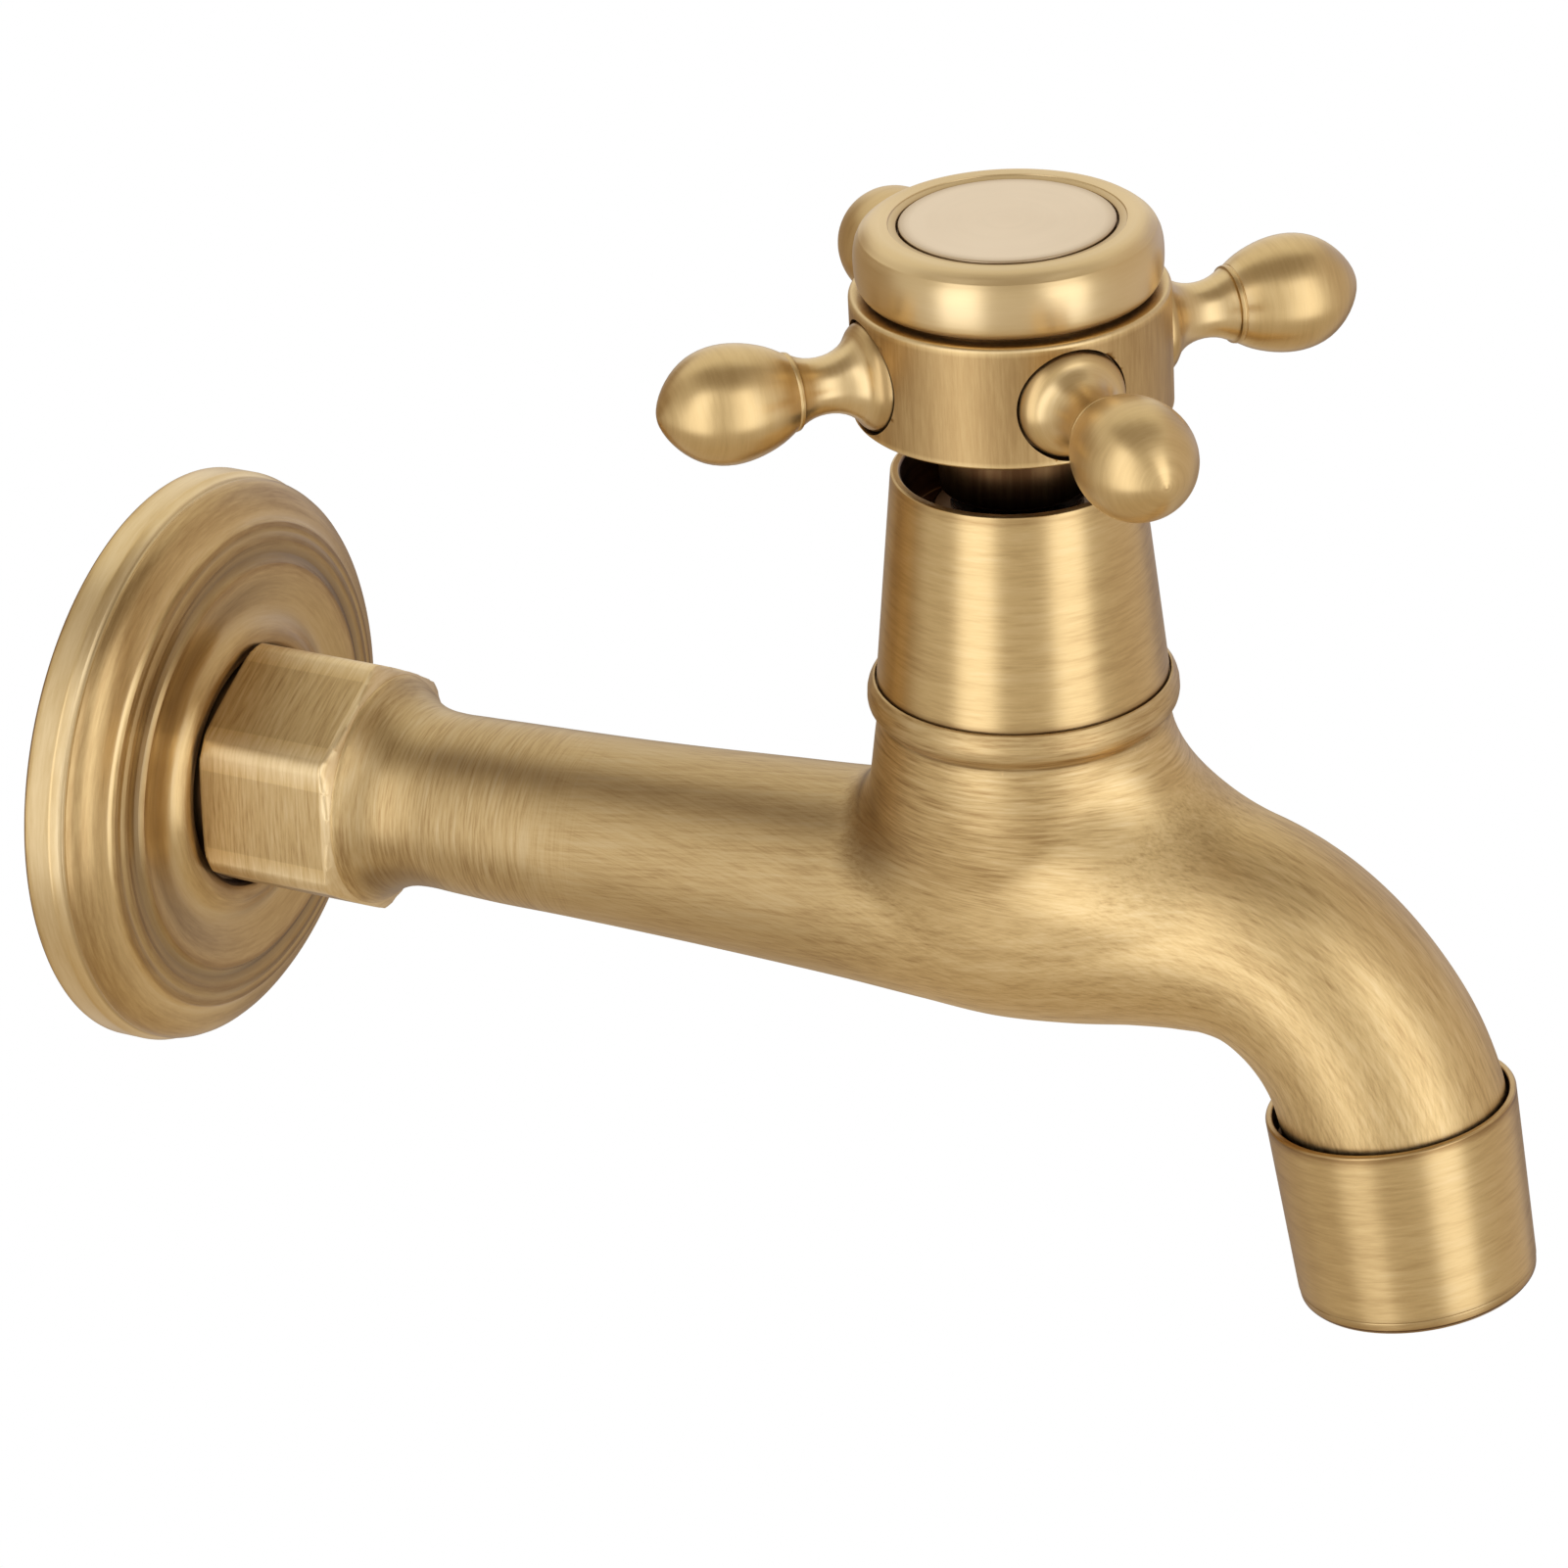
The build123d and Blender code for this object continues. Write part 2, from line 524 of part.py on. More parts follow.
# Spindle: driving plate with its lugs, stop lug, grooved shank, splined top and a screw hole
with BuildPart() as spindle:
    shank = [(0, MOVING_DISC_TOP), (MOVING_DISC_R, MOVING_DISC_TOP), (MOVING_DISC_R, STOP_Z),
             (SPINDLE_HUB_R, STOP_Z), (SPINDLE_HUB_R, STOP_Z + STOP_HEIGHT),
             (SPINDLE_R, STOP_Z + STOP_HEIGHT)]
    for bottom in O_RING_GROOVES:
        top = bottom + O_RING_GROOVE_HEIGHT
        shank += [(SPINDLE_R, bottom), (GROOVE_R, bottom), (GROOVE_R, top), (SPINDLE_R, top)]
    clip_top = CLIP_Z + CLIP_THICK + 0.1
    shank += [(SPINDLE_R, CLIP_Z), (CLIP_GROOVE_R, CLIP_Z), (CLIP_GROOVE_R, clip_top),
              (SPINDLE_R - 0.3, clip_top), (SPLINE_ROOT_R, SPLINE_Z), (0, SPLINE_Z)]
    revolve(outline(VALVE_SIDE, shank), axis=VALVE_AXIS)
    extrude(sector(level(STOP_Z), SPINDLE_HUB_R - 0.3, MOVING_DISC_R - 0.1, 0, STOP_LUG_ANGLE),
            amount=STOP_HEIGHT)
    with BuildSketch(level(MOVING_DISC_TOP)):
        with Locations((0, DRIVE_LUG_PLACE), (0, -DRIVE_LUG_PLACE)):
            Rectangle(DRIVE_LUG[0], DRIVE_LUG[1])
    extrude(amount=-DRIVE_LUG[2])
    with BuildSketch(level(SPLINE_Z)):
        Circle(SPLINE_ROOT_R)
        with PolarLocations((SPLINE_ROOT_R + SPLINE_TIP_R) / 2 - 0.1, SPLINE_TEETH):
            Rectangle(SPLINE_TIP_R - SPLINE_ROOT_R + 0.2, SPLINE_WIDTH)
    extrude(amount=SPINDLE_TOP - SPLINE_Z)
    with BuildSketch(level(SPINDLE_TOP)):
        Circle(SCREW_R + 0.05)
    extrude(amount=-SCREW_HOLE_DEPTH, mode=Mode.SUBTRACT)
finish(spindle.part, "spindle")

# Two O-rings on the spindle
with BuildPart() as spindle_o_rings:
    for bottom in O_RING_GROOVES:
        with BuildSketch(VALVE_SIDE):
            with Locations(((GROOVE_R + SPINDLE_R) / 2, bottom + O_RING_GROOVE_HEIGHT / 2)):
                Circle((SPINDLE_R - GROOVE_R) / 2)
        revolve(axis=VALVE_AXIS)
finish(spindle_o_rings.part, "spindle_o_rings")

# Retaining ring, open on one side
with BuildPart() as spindle_clip:
    extrude(sector(level(CLIP_Z + 0.05), CLIP_GROOVE_R + 0.02, CLIP_R, 0, CLIP_ANGLE),
            amount=CLIP_THICK)
finish(spindle_clip.part, "spindle_clip")

# Low-friction washer between the spindle's plate and the cartridge
with BuildPart() as thrust_washer:
    with BuildSketch(level(STOP_Z + STOP_HEIGHT)):
        Circle(THRUST_WASHER_R)
        Circle(SPINDLE_R + 0.05, mode=Mode.SUBTRACT)
    extrude(amount=THRUST_WASHER_THICK)
finish(thrust_washer.part, "thrust_washer")

# Hub of the cross handle: a drum with a neck that reaches into the bell
with BuildPart() as handle_hub:
    revolve(outline(VALVE_SIDE, [
        (0, HUB_NECK_BOTTOM), (HUB_NECK_R - 0.3, HUB_NECK_BOTTOM),
        (HUB_NECK_R, HUB_NECK_BOTTOM + 0.3), (HUB_NECK_R, HUB_BOTTOM), (HUB_R - HUB_EDGE, HUB_BOTTOM),
        (HUB_R, HUB_BOTTOM + HUB_EDGE), (HUB_R, HUB_TOP - 0.5), (HUB_R - 0.5, HUB_TOP),
        (CAP_RECESS_R, HUB_TOP), (CAP_RECESS_R, CAP_RECESS_Z), (SCREW_RECESS_R, CAP_RECESS_Z),
        (SCREW_RECESS_R, SCREW_SEAT_Z), (SCREW_R + 0.25, SCREW_SEAT_Z),
        (SCREW_R + 0.25, HUB_WEB_Z), (0, HUB_WEB_Z)]), axis=VALVE_AXIS)
    with BuildSketch(level(HUB_NECK_BOTTOM)):
        Circle(SPLINE_ROOT_R + SPLINE_GAP)
        with PolarLocations((SPLINE_ROOT_R + SPLINE_TIP_R) / 2 - 0.1 + SPLINE_GAP, SPLINE_TEETH):
            Rectangle(SPLINE_TIP_R - SPLINE_ROOT_R + 0.2, SPLINE_WIDTH + 2 * SPLINE_GAP)
    extrude(amount=HUB_WEB_Z - HUB_NECK_BOTTOM, mode=Mode.SUBTRACT)
    with BuildSketch(level(HUB_WEB_Z)):
        Circle(SCREW_R + 0.25)
    extrude(amount=SCREW_SEAT_Z - HUB_WEB_Z, mode=Mode.SUBTRACT)
    # Round pockets and stud holes for the arms
    for number in range(ARM_COUNT):
        turn = radians(HANDLE_ANGLE + 360 / ARM_COUNT * number)
        outward = Vector(cos(turn), sin(turn), 0)
        centre = Vector(VALVE_X, 0, ARM_Z)
        with BuildSketch(Plane(origin=centre + outward * POCKET_FLOOR, z_dir=outward)):
            Circle(POCKET_R)
        extrude(amount=HUB_R, mode=Mode.SUBTRACT)
        with BuildSketch(Plane(origin=centre + outward * (STUD_INNER - 0.2), z_dir=outward)):
            Circle(STUD_R)
        extrude(amount=HUB_R, mode=Mode.SUBTRACT)
finish(handle_hub.part, "handle_hub")

# Screw under the cap, with a six-sided socket, and its washer
with BuildPart() as handle_screw:
    head_bottom = SCREW_SEAT_Z + SCREW_WASHER_THICK
    head_top = head_bottom + SCREW_HEAD_HEIGHT
    revolve(outline(VALVE_SIDE, [
        (0, SCREW_BOTTOM), (SCREW_R - 0.4, SCREW_BOTTOM), (SCREW_R, SCREW_BOTTOM + 0.4),
        (SCREW_R, head_bottom), (SCREW_HEAD_R, head_bottom), (SCREW_HEAD_R, head_top - 0.7),
        (SCREW_HEAD_R - 0.7, head_top), (0, head_top)]), axis=VALVE_AXIS)
    with BuildSketch(level(head_top)):
        RegularPolygon(SCREW_SOCKET_R, 6)
    extrude(amount=-SCREW_SOCKET_DEPTH, mode=Mode.SUBTRACT)
finish(handle_screw.part, "handle_screw")

with BuildPart() as screw_washer:
    with BuildSketch(level(SCREW_SEAT_Z)):
        Circle(SCREW_WASHER_R)
        Circle(SCREW_R + 0.15, mode=Mode.SUBTRACT)
    extrude(amount=SCREW_WASHER_THICK)
finish(screw_washer.part, "screw_washer")

# Domed cap that screws into the hub, with a shelf for the button
with BuildPart() as handle_cap:
    with BuildSketch(VALVE_SIDE):
        with BuildLine():
            Polyline((13.9, CAP_BRIM_Z), (CAP_NECK_R, CAP_BRIM_Z), (CAP_NECK_R, HUB_TOP),
                     (CAP_RECESS_R - 0.1, HUB_TOP), (CAP_RECESS_R - 0.1, CAP_RECESS_Z + 0.3),
                     (CAP_INNER_R, CAP_RECESS_Z + 0.3), (CAP_INNER_R, CAP_DECK_BOTTOM),
                     (0, CAP_DECK_BOTTOM), (0, CAP_DECK_TOP), (CAP_INNER_R, CAP_DECK_TOP),
                     (CAP_INNER_R, BUTTON_SHELF_Z), (BUTTON_GROOVE_R, BUTTON_SHELF_Z),
                     (BUTTON_GROOVE_R, CAP_TOP - 2 * BUTTON_STEP),
                     (BUTTON_STEP_R, CAP_TOP - BUTTON_STEP), (BUTTON_STEP_R + 0.05, CAP_TOP),
                     (CAP_FLAT_R, CAP_TOP))
            TangentArc((CAP_FLAT_R, CAP_TOP), (CAP_R, CAP_SHOULDER_Z), tangent=(1, 0))
            Line((CAP_R, CAP_SHOULDER_Z), (CAP_R, CAP_BRIM_Z + 0.65))
            ThreePointArc((CAP_R, CAP_BRIM_Z + 0.65), (CAP_R - 0.2, CAP_BRIM_Z + 0.2),
                          (13.9, CAP_BRIM_Z))
        make_face()
    revolve(axis=VALVE_AXIS)
finish(handle_cap.part, "handle_cap")

# Plain button set in the cap
with BuildPart() as index_button:
    revolve(outline(VALVE_SIDE, [
        (0, CAP_DECK_TOP + 0.1), (CAP_INNER_R - 0.1, CAP_DECK_TOP + 0.1),
        (CAP_INNER_R - 0.1, BUTTON_SHELF_Z), (BUTTON_R, BUTTON_SHELF_Z),
        (BUTTON_R, CAP_TOP - 0.15), (BUTTON_R - 0.2, CAP_TOP), (0, CAP_TOP)]), axis=VALVE_AXIS)
finish(index_button.part, "index_button")

# Four turned arms: a stud, a flared root, a neck, a ridge and a ball that ends in a slight point
for number in range(ARM_COUNT):
    turn = radians(HANDLE_ANGLE + 360 / ARM_COUNT * number)
    outward = Vector(cos(turn), sin(turn), 0)
    arm_centre = Vector(VALVE_X, 0, ARM_Z)
    arm_side = Plane(origin=arm_centre, x_dir=outward, z_dir=outward.cross(Vector(0, 0, 1)))
    with BuildPart() as handle_arm:
        with BuildSketch(arm_side):
            with BuildLine():
                Polyline((ARM_REACH, 0), (STUD_INNER, 0), (STUD_INNER, STUD_R - 0.1),
                         (POCKET_FLOOR, STUD_R - 0.1), (POCKET_FLOOR, 5.25), (14.1, 5.25))
                Spline((14.1, 5.25), (15.9, 4.0), (17.3, 3.0), (19.4, 2.65), (21.1, 2.95),
                       (22.1, 3.5), tangents=[(0.8, -0.6), (0.8, 0.6)])
                Polyline((22.1, 3.5), (22.3, 3.8), (22.6, 3.85))
                Spline((22.6, 3.85), (24.2, 4.65), (26.2, 5.35), (28.6, 5.62), (31.2, 5.15),
                       (33.3, 3.85), (34.75, 1.75), (ARM_REACH, 0),
                       tangents=[(0.8, 0.5), (0.5, -0.9)])
            make_face()
        revolve(axis=Axis(arm_centre, outward))
    finish(handle_arm.part, f"handle_arm_{number + 1}")

# Sleeve over the spout's end
with BuildPart() as nozzle_sleeve:
    revolve(outline(NOZZLE_SIDE, down([
        (SLEEVE_TOP_R - 0.15, 0), (SLEEVE_TOP_R, 0.15), (SLEEVE_BOTTOM_R + 0.06, AERATOR_LIP),
        (SLEEVE_BOTTOM_R - 0.05, AERATOR_LIP + 0.1), (SLEEVE_BOTTOM_R - 0.1, SLEEVE_LENGTH - 0.45),
        (SLEEVE_BOTTOM_R - 0.5, SLEEVE_LENGTH), (AERATOR_LIP_R + 0.2, SLEEVE_LENGTH),
        (AERATOR_LIP_R, SLEEVE_LENGTH - 0.2), (AERATOR_LIP_R, AERATOR_LIP),
        (AERATOR_BORE_R, AERATOR_LIP), (AERATOR_BORE_R, SPIGOT_END), (SPIGOT_R, SPIGOT_END),
        (SPIGOT_R, SLEEVE_THREAD_START), (SLEEVE_RIM_BORE, SLEEVE_THREAD_START - 0.5),
        (SLEEVE_RIM_BORE, 0.1), (SLEEVE_RIM_BORE + 0.1, 0)])), axis=NOZZLE_AXIS)
finish(nozzle_sleeve.part, "nozzle_sleeve")

# Rubber washer between the spigot and the aerator
with BuildPart() as aerator_washer:
    with BuildSketch(nozzle_level(SPIGOT_END)):
        Circle(AERATOR_BORE_R - 0.1)
        Circle(WATERWAY_R, mode=Mode.SUBTRACT)
    extrude(amount=WASHER_THICK)
finish(aerator_washer.part, "aerator_washer")

# Plastic cup of the aerator: a rim at the top, a wall with air slots, open below
AERATOR_TOP = SPIGOT_END + WASHER_THICK
CUP_R = AERATOR_BORE_R - 0.15
with BuildPart() as aerator_housing:
    cup_end = SLEEVE_LENGTH - CUP_RECESS
    revolve(outline(NOZZLE_SIDE, down([
        (WATERWAY_R, AERATOR_TOP), (CUP_R, AERATOR_TOP), (CUP_R, AERATOR_LIP),
        (CUP_SKIRT_R, AERATOR_LIP), (CUP_SKIRT_R, cup_end), (CUP_BORE_R, cup_end),
        (CUP_BORE_R, AERATOR_TOP + 1.8), (WATERWAY_R, AERATOR_TOP + 1.0)])), axis=NOZZLE_AXIS)
finish(aerator_housing.part, "aerator_housing")

# Inlet screen: a thin disc of fine holes across the top of the cup
with BuildPart() as aerator_screen:
    with BuildSketch(nozzle_level(AERATOR_TOP + 0.1)):
        Circle(SCREEN_R)
        with HexLocations(SCREEN_PITCH_R, HOLES_ACROSS, HOLES_ACROSS, major_radius=False):
            Circle(SCREEN_HOLE_R, mode=Mode.SUBTRACT)
    extrude(amount=SCREEN_THICK)
finish(aerator_screen.part, "aerator_screen")

# Grid that straightens the stream, just inside the sleeve's lower lip
with BuildPart() as flow_straightener:
    with BuildSketch(nozzle_level(SLEEVE_LENGTH - GRID_RECESS - GRID_THICK)):
        Circle(GRID_R)
        with HexLocations(GRID_PITCH_R, HOLES_ACROSS, HOLES_ACROSS, major_radius=False):
            RegularPolygon(GRID_HOLE_R, 6, mode=Mode.SUBTRACT)
    extrude(amount=GRID_THICK)
finish(flow_straightener.part, "flow_straightener")
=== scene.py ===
import json
from math import atan2, cos, degrees, pi, radians, sin, sqrt, tan

import bpy
import numpy as np
from mathutils import Matrix, Vector


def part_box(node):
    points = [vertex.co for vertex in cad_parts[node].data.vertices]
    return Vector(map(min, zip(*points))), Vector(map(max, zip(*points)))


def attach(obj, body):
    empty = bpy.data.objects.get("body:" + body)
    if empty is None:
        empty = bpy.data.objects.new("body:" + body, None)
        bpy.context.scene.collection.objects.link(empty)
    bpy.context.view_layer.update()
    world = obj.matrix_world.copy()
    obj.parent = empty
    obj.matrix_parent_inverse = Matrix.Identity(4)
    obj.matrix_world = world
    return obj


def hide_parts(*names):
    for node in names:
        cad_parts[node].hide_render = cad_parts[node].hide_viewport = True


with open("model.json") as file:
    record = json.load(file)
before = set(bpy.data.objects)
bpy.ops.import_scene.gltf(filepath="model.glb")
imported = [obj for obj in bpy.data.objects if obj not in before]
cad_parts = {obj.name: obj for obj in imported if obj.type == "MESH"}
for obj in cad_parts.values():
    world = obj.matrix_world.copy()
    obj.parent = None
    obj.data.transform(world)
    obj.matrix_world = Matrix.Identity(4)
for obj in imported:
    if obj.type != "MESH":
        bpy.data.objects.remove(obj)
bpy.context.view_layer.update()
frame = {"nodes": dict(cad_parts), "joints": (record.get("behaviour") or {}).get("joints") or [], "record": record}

# Sizes are in millimetres, in the frame's own axes, and become metres when a mesh is made.
# The camera and the studio are in metres, and angles that have a name are in degrees.
MM = 0.001

# The photograph's view
IMAGE_SIZE = 1601
SENSOR_WIDTH = 36.0
FOCAL_PIXELS = 6850.55
CAMERA_PLACE = Vector((0.354087, -0.520816, 0.310141))
CAMERA_AZIMUTH = 28.516
CAMERA_ELEVATION = 26.911
CAMERA_ROLL = -3.050


def middle_z(node):
    """The height of a CAD node's middle."""
    return sum(corner.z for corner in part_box(node)) / 2 / MM


# Main places, from the frame where it gives them
VALVE_X = frame["joints"][0]["pos_m"][0] / MM
ARM_Z = middle_z("handle_arm_1")
HANDLE_ANGLE = 48.4
ARM_COUNT = 4
TAIL_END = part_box("body")[0].x / MM
FLANGE_Z = middle_z("wall_flange")
NOZZLE_TOP = np.array((135.73, 0.0, -12.57))
NOZZLE_TILT = 8.4

# Fineness of the meshes
TURNED_SEGMENTS = 224
FLANGE_SEGMENTS = 320
SMALL_SEGMENTS = 112
PROFILE_STEP = 0.45
RUN_STEP = 0.7
CASTING_STEP = 0.5
CORNER = 0.14               # radius of a corner whose profile point gives none
SOFT_CORNER = 30.0
CORNER_SHARE = 0.45         # the most of an edge that the rounding of one corner takes
ARC_STEP = 12               # a rounded corner has an edge for each of these degrees
STRAIGHT = 0.02             # radians of turn that still pass for straight on
SHARP_ANGLE = 30
TINY = 1e-6

WEAR_WIDTH = 0.35           # how far wear spreads from an edge
WEAR_GAIN = 0.36 / WEAR_WIDTH

X_AXIS = np.array((1.0, 0.0, 0.0))
Z_AXIS = np.array((0.0, 0.0, 1.0))
INLET = (np.zeros(3), X_AXIS)
FLANGE_LINE = (np.array((0.0, 0.0, FLANGE_Z)), X_AXIS)
VALVE = (np.array((VALVE_X, 0.0, 0.0)), Z_AXIS)
NOZZLE = (NOZZLE_TOP, np.array((sin(radians(NOZZLE_TILT)), 0.0, -cos(radians(NOZZLE_TILT)))))


# Profiles

def rounded(points):
    """A profile as rows of (along, radius, direction along, direction outwards, turn).

    A point is (along, radius) or (along, radius, corner radius). Corners become small arcs and
    long edges get points between, so that the shading follows the true shape. A profile that
    starts on the axis ends there too, and any other is closed."""
    count = len(points)
    closed = points[0][1] > 0
    spots = np.array([point[:2] for point in points], float)
    spans = np.roll(spots, -1, axis=0) - spots
    lengths = np.linalg.norm(spans, axis=1)
    ways = spans / lengths[:, None]
    turns, cuts = np.zeros(count), np.zeros(count)
    for i, point in enumerate(points):
        if closed or 0 < i < count - 1:
            into, out = ways[i - 1], ways[i]
            turns[i] = atan2(into[0] * out[1] - into[1] * out[0], into @ out)
            radius = point[2] if len(point) > 2 else CORNER
            longest = CORNER_SHARE * min(lengths[i - 1], lengths[i])
            cuts[i] = min(radius * abs(tan(turns[i] / 2)), longest)
    rows = []
    for i in range(count):
        into, out, turn, cut = ways[i - 1], ways[i], turns[i], cuts[i]
        at_open_end = not closed and i == count - 1
        end = spots[i] + out * cut
        if abs(turn) > STRAIGHT:
            steps = max(1, int(abs(degrees(turn)) / ARC_STEP))
            radius = cut / abs(tan(turn / 2))
            side = np.array((-into[1], into[0])) * np.sign(turn)
            for step in range(steps + 1):
                swing = abs(turn) * step / steps
                bend = into * sin(swing) + side * (1 - cos(swing))
                way = into * cos(swing) + side * sin(swing)
                rows.append((*(spots[i] - into * cut + radius * bend), *way, turn / (steps + 1)))
        else:
            rows.append((*end, *(into if at_open_end else out), turn))
        if not at_open_end:
            rest = lengths[i] - cut - cuts[(i + 1) % count]
            pieces = int(rest / PROFILE_STEP)
            for piece in range(1, pieces):
                rows.append((*(end + out * rest * piece / pieces), *out, 0.0))
    return np.array(rows)


def smooth_line(points, count):
    """Evenly spaced points on a smooth line through the given ones."""
    points = np.array(points, float)
    steps = np.hypot(*np.diff(points[:, :2], axis=0).T)
    place = np.concatenate(((0,), np.cumsum(steps)))
    slopes = np.diff(points, axis=0) / steps[:, None]
    rates = np.empty_like(points)
    rates[0], rates[-1] = slopes[0], slopes[-1]
    weight = (steps[:-1] + steps[1:])[:, None]
    rates[1:-1] = (slopes[:-1] * steps[1:, None] + slopes[1:] * steps[:-1, None]) / weight
    at = np.linspace(0, place[-1], count)
    i = np.clip(np.searchsorted(place, at, side="right") - 1, 0, len(steps) - 1)
    u = ((at - place[i]) / steps[i])[:, None]
    span = steps[i][:, None]
    value = ((2 * u**3 - 3 * u**2 + 1) * points[i] + (u**3 - 2 * u**2 + u) * span * rates[i]
             + (3 * u**2 - 2 * u**3) * points[i + 1] + (u**3 - u**2) * span * rates[i + 1])
    return value, at


def soft_run(*points):
    """Profile points on a smooth line through the given ones. Their corners melt together."""
    reach = np.hypot(*np.diff(np.array(points), axis=0).T).sum()
    places = smooth_line(points, int(reach / RUN_STEP) + 2)[0]
    return [(along, radius, SOFT_CORNER) for along, radius in places]


# Meshes

def placed(name, data):
    """A new object in the scene from a mesh, a lamp or a camera."""
    made = bpy.data.objects.new(name, data)
    bpy.context.scene.collection.objects.link(made)
    return made


def make_mesh(name, places, faces):
    """A mesh object from points in millimetres."""
    mesh = bpy.data.meshes.new(name)
    mesh.from_pydata((np.asarray(places) * MM).tolist(), [], faces)
    mesh.validate()
    mesh.update()
    return placed(name, mesh)


def write_attributes(mesh, **fields):
    """Store one value or vector for each vertex under each name."""
    for name, values in fields.items():
        kind, key = ("FLOAT", "value") if np.ndim(values) == 1 else ("FLOAT_VECTOR", "vector")
        field = mesh.attributes.get(name) or mesh.attributes.new(name, kind, "POINT")
        field.data.foreach_set(key, np.asarray(values, np.float32).ravel())


def read_points(mesh):
    """The mesh's vertices in millimetres."""
    places = np.empty(len(mesh.vertices) * 3, np.float32)
    mesh.vertices.foreach_get("co", places)
    return places.reshape(-1, 3).astype(float) / MM


def axis_frame(axis):
    """Two directions square to an axis and each other."""
    first = np.cross(axis, Z_AXIS if abs(axis[2]) < 0.9 else X_AXIS)
    first /= np.linalg.norm(first)
    return first, np.cross(axis, first)


def wear_of(rows):
    """Edges that stick out are above 0 and corners that fold in are below, blurred a little."""
    steps = np.hypot(*np.diff(rows[:, :2], axis=0, append=rows[:1, :2]).T)
    place = np.concatenate(((0,), np.cumsum(steps[:-1])))
    total = place[-1] + steps[-1]
    apart = np.abs(place[:, None] - place[None, :])
    apart = np.minimum(apart, total - apart)
    near = np.exp(-0.5 * (apart / WEAR_WIDTH) ** 2)
    return np.clip(near @ rows[:, 4] * WEAR_GAIN, -1, 1), place


def no_stain(along, radius):
    return 0 * radius


def lathe(name, centre_line, profile, segments=TURNED_SEGMENTS, ripple=None, stain=no_stain):
    """A turned piece: the profile, of (along, radius) points, goes round a centre line. The stain
    function gives how dark the patina and the painted shade are at a place along the axis and a
    radius. 1 is the darkest, and below 0 the metal is worn bright, which on the bell's rim is
    also a painted highlight."""
    origin, axis = centre_line
    rows = rounded(profile)
    ring = np.roll(rows[:, :2], -1, axis=0)
    if np.sum(rows[:, 0] * ring[:, 1] - ring[:, 0] * rows[:, 1]) < 0:
        rows = rows[::-1] * (1, 1, -1, -1, 1)
    wear, place = wear_of(rows)
    first, second = axis_frame(axis)
    angles = np.arange(segments) * 2 * pi / segments
    spokes = np.outer(np.cos(angles), first) + np.outer(np.sin(angles), second)
    along, radius = rows[:, :1], rows[:, 1:2]
    reach = radius + (ripple(along, angles[None], radius) if ripple else 0 * angles[None])
    pole = rows[:, 1] < TINY
    kept = np.ones(reach.shape, bool)
    kept[pole, 1:] = False
    number = np.cumsum(kept.ravel()).reshape(kept.shape) - 1
    places = origin + axis * along[..., None] + spokes * reach[..., None]
    normals = axis * rows[:, 3, None, None] - spokes * np.where(pole, 0, rows[:, 2])[:, None, None]
    grain = np.stack((np.broadcast_to(place[:, None], reach.shape),
                      reach * np.cos(angles), reach * np.sin(angles)), -1)
    lay = np.broadcast_to(np.cross(axis, spokes), places.shape)
    following = np.arange(1, len(rows) + 1) % len(rows)
    here, there = number, number[following]
    if profile[0][1] == 0:
        here, there = here[:-1], there[:-1]
    corners = np.stack((here, there, np.roll(there, -1, axis=1), np.roll(here, -1, axis=1)), -1)
    start_pole, end_pole = pole[:len(here)], pole[following][:len(here)]
    faces = corners[~start_pole & ~end_pole].reshape(-1, 4).tolist()
    faces += corners[start_pole & ~end_pole][..., (0, 1, 2)].reshape(-1, 3).tolist()
    faces += corners[~start_pole & end_pole][..., (0, 1, 3)].reshape(-1, 3).tolist()
    made = make_mesh(name, places[kept], faces)
    dark = np.broadcast_to(stain(along, radius), kept.shape)[kept]
    # Stain and shade below 0 adds to the wear; on the bell's rim this is a painted highlight.
    worn_and_painted_bright = np.broadcast_to(wear[:, None], kept.shape)[kept] - np.minimum(dark, 0)
    write_attributes(made.data, grain=grain[kept], lay=lay[kept], wear=worn_and_painted_bright,
                     stain=np.maximum(dark, 0))
    made.data.shade_smooth()
    if ripple is None:
        made.data.normals_split_custom_set_from_vertices(normals[kept].tolist())
    return made


def join(target, other, operation):
    """Union or difference with another closed mesh, which is used up."""
    change = target.modifiers.new("join", "BOOLEAN")
    change.operation = operation
    change.solver = "MANIFOLD"
    change.object = other
    graph = bpy.context.evaluated_depsgraph_get()
    mesh = bpy.data.meshes.new_from_object(target.evaluated_get(graph))
    target.modifiers.clear()
    target.data = mesh
    bpy.data.objects.remove(other)


# Shader nodes

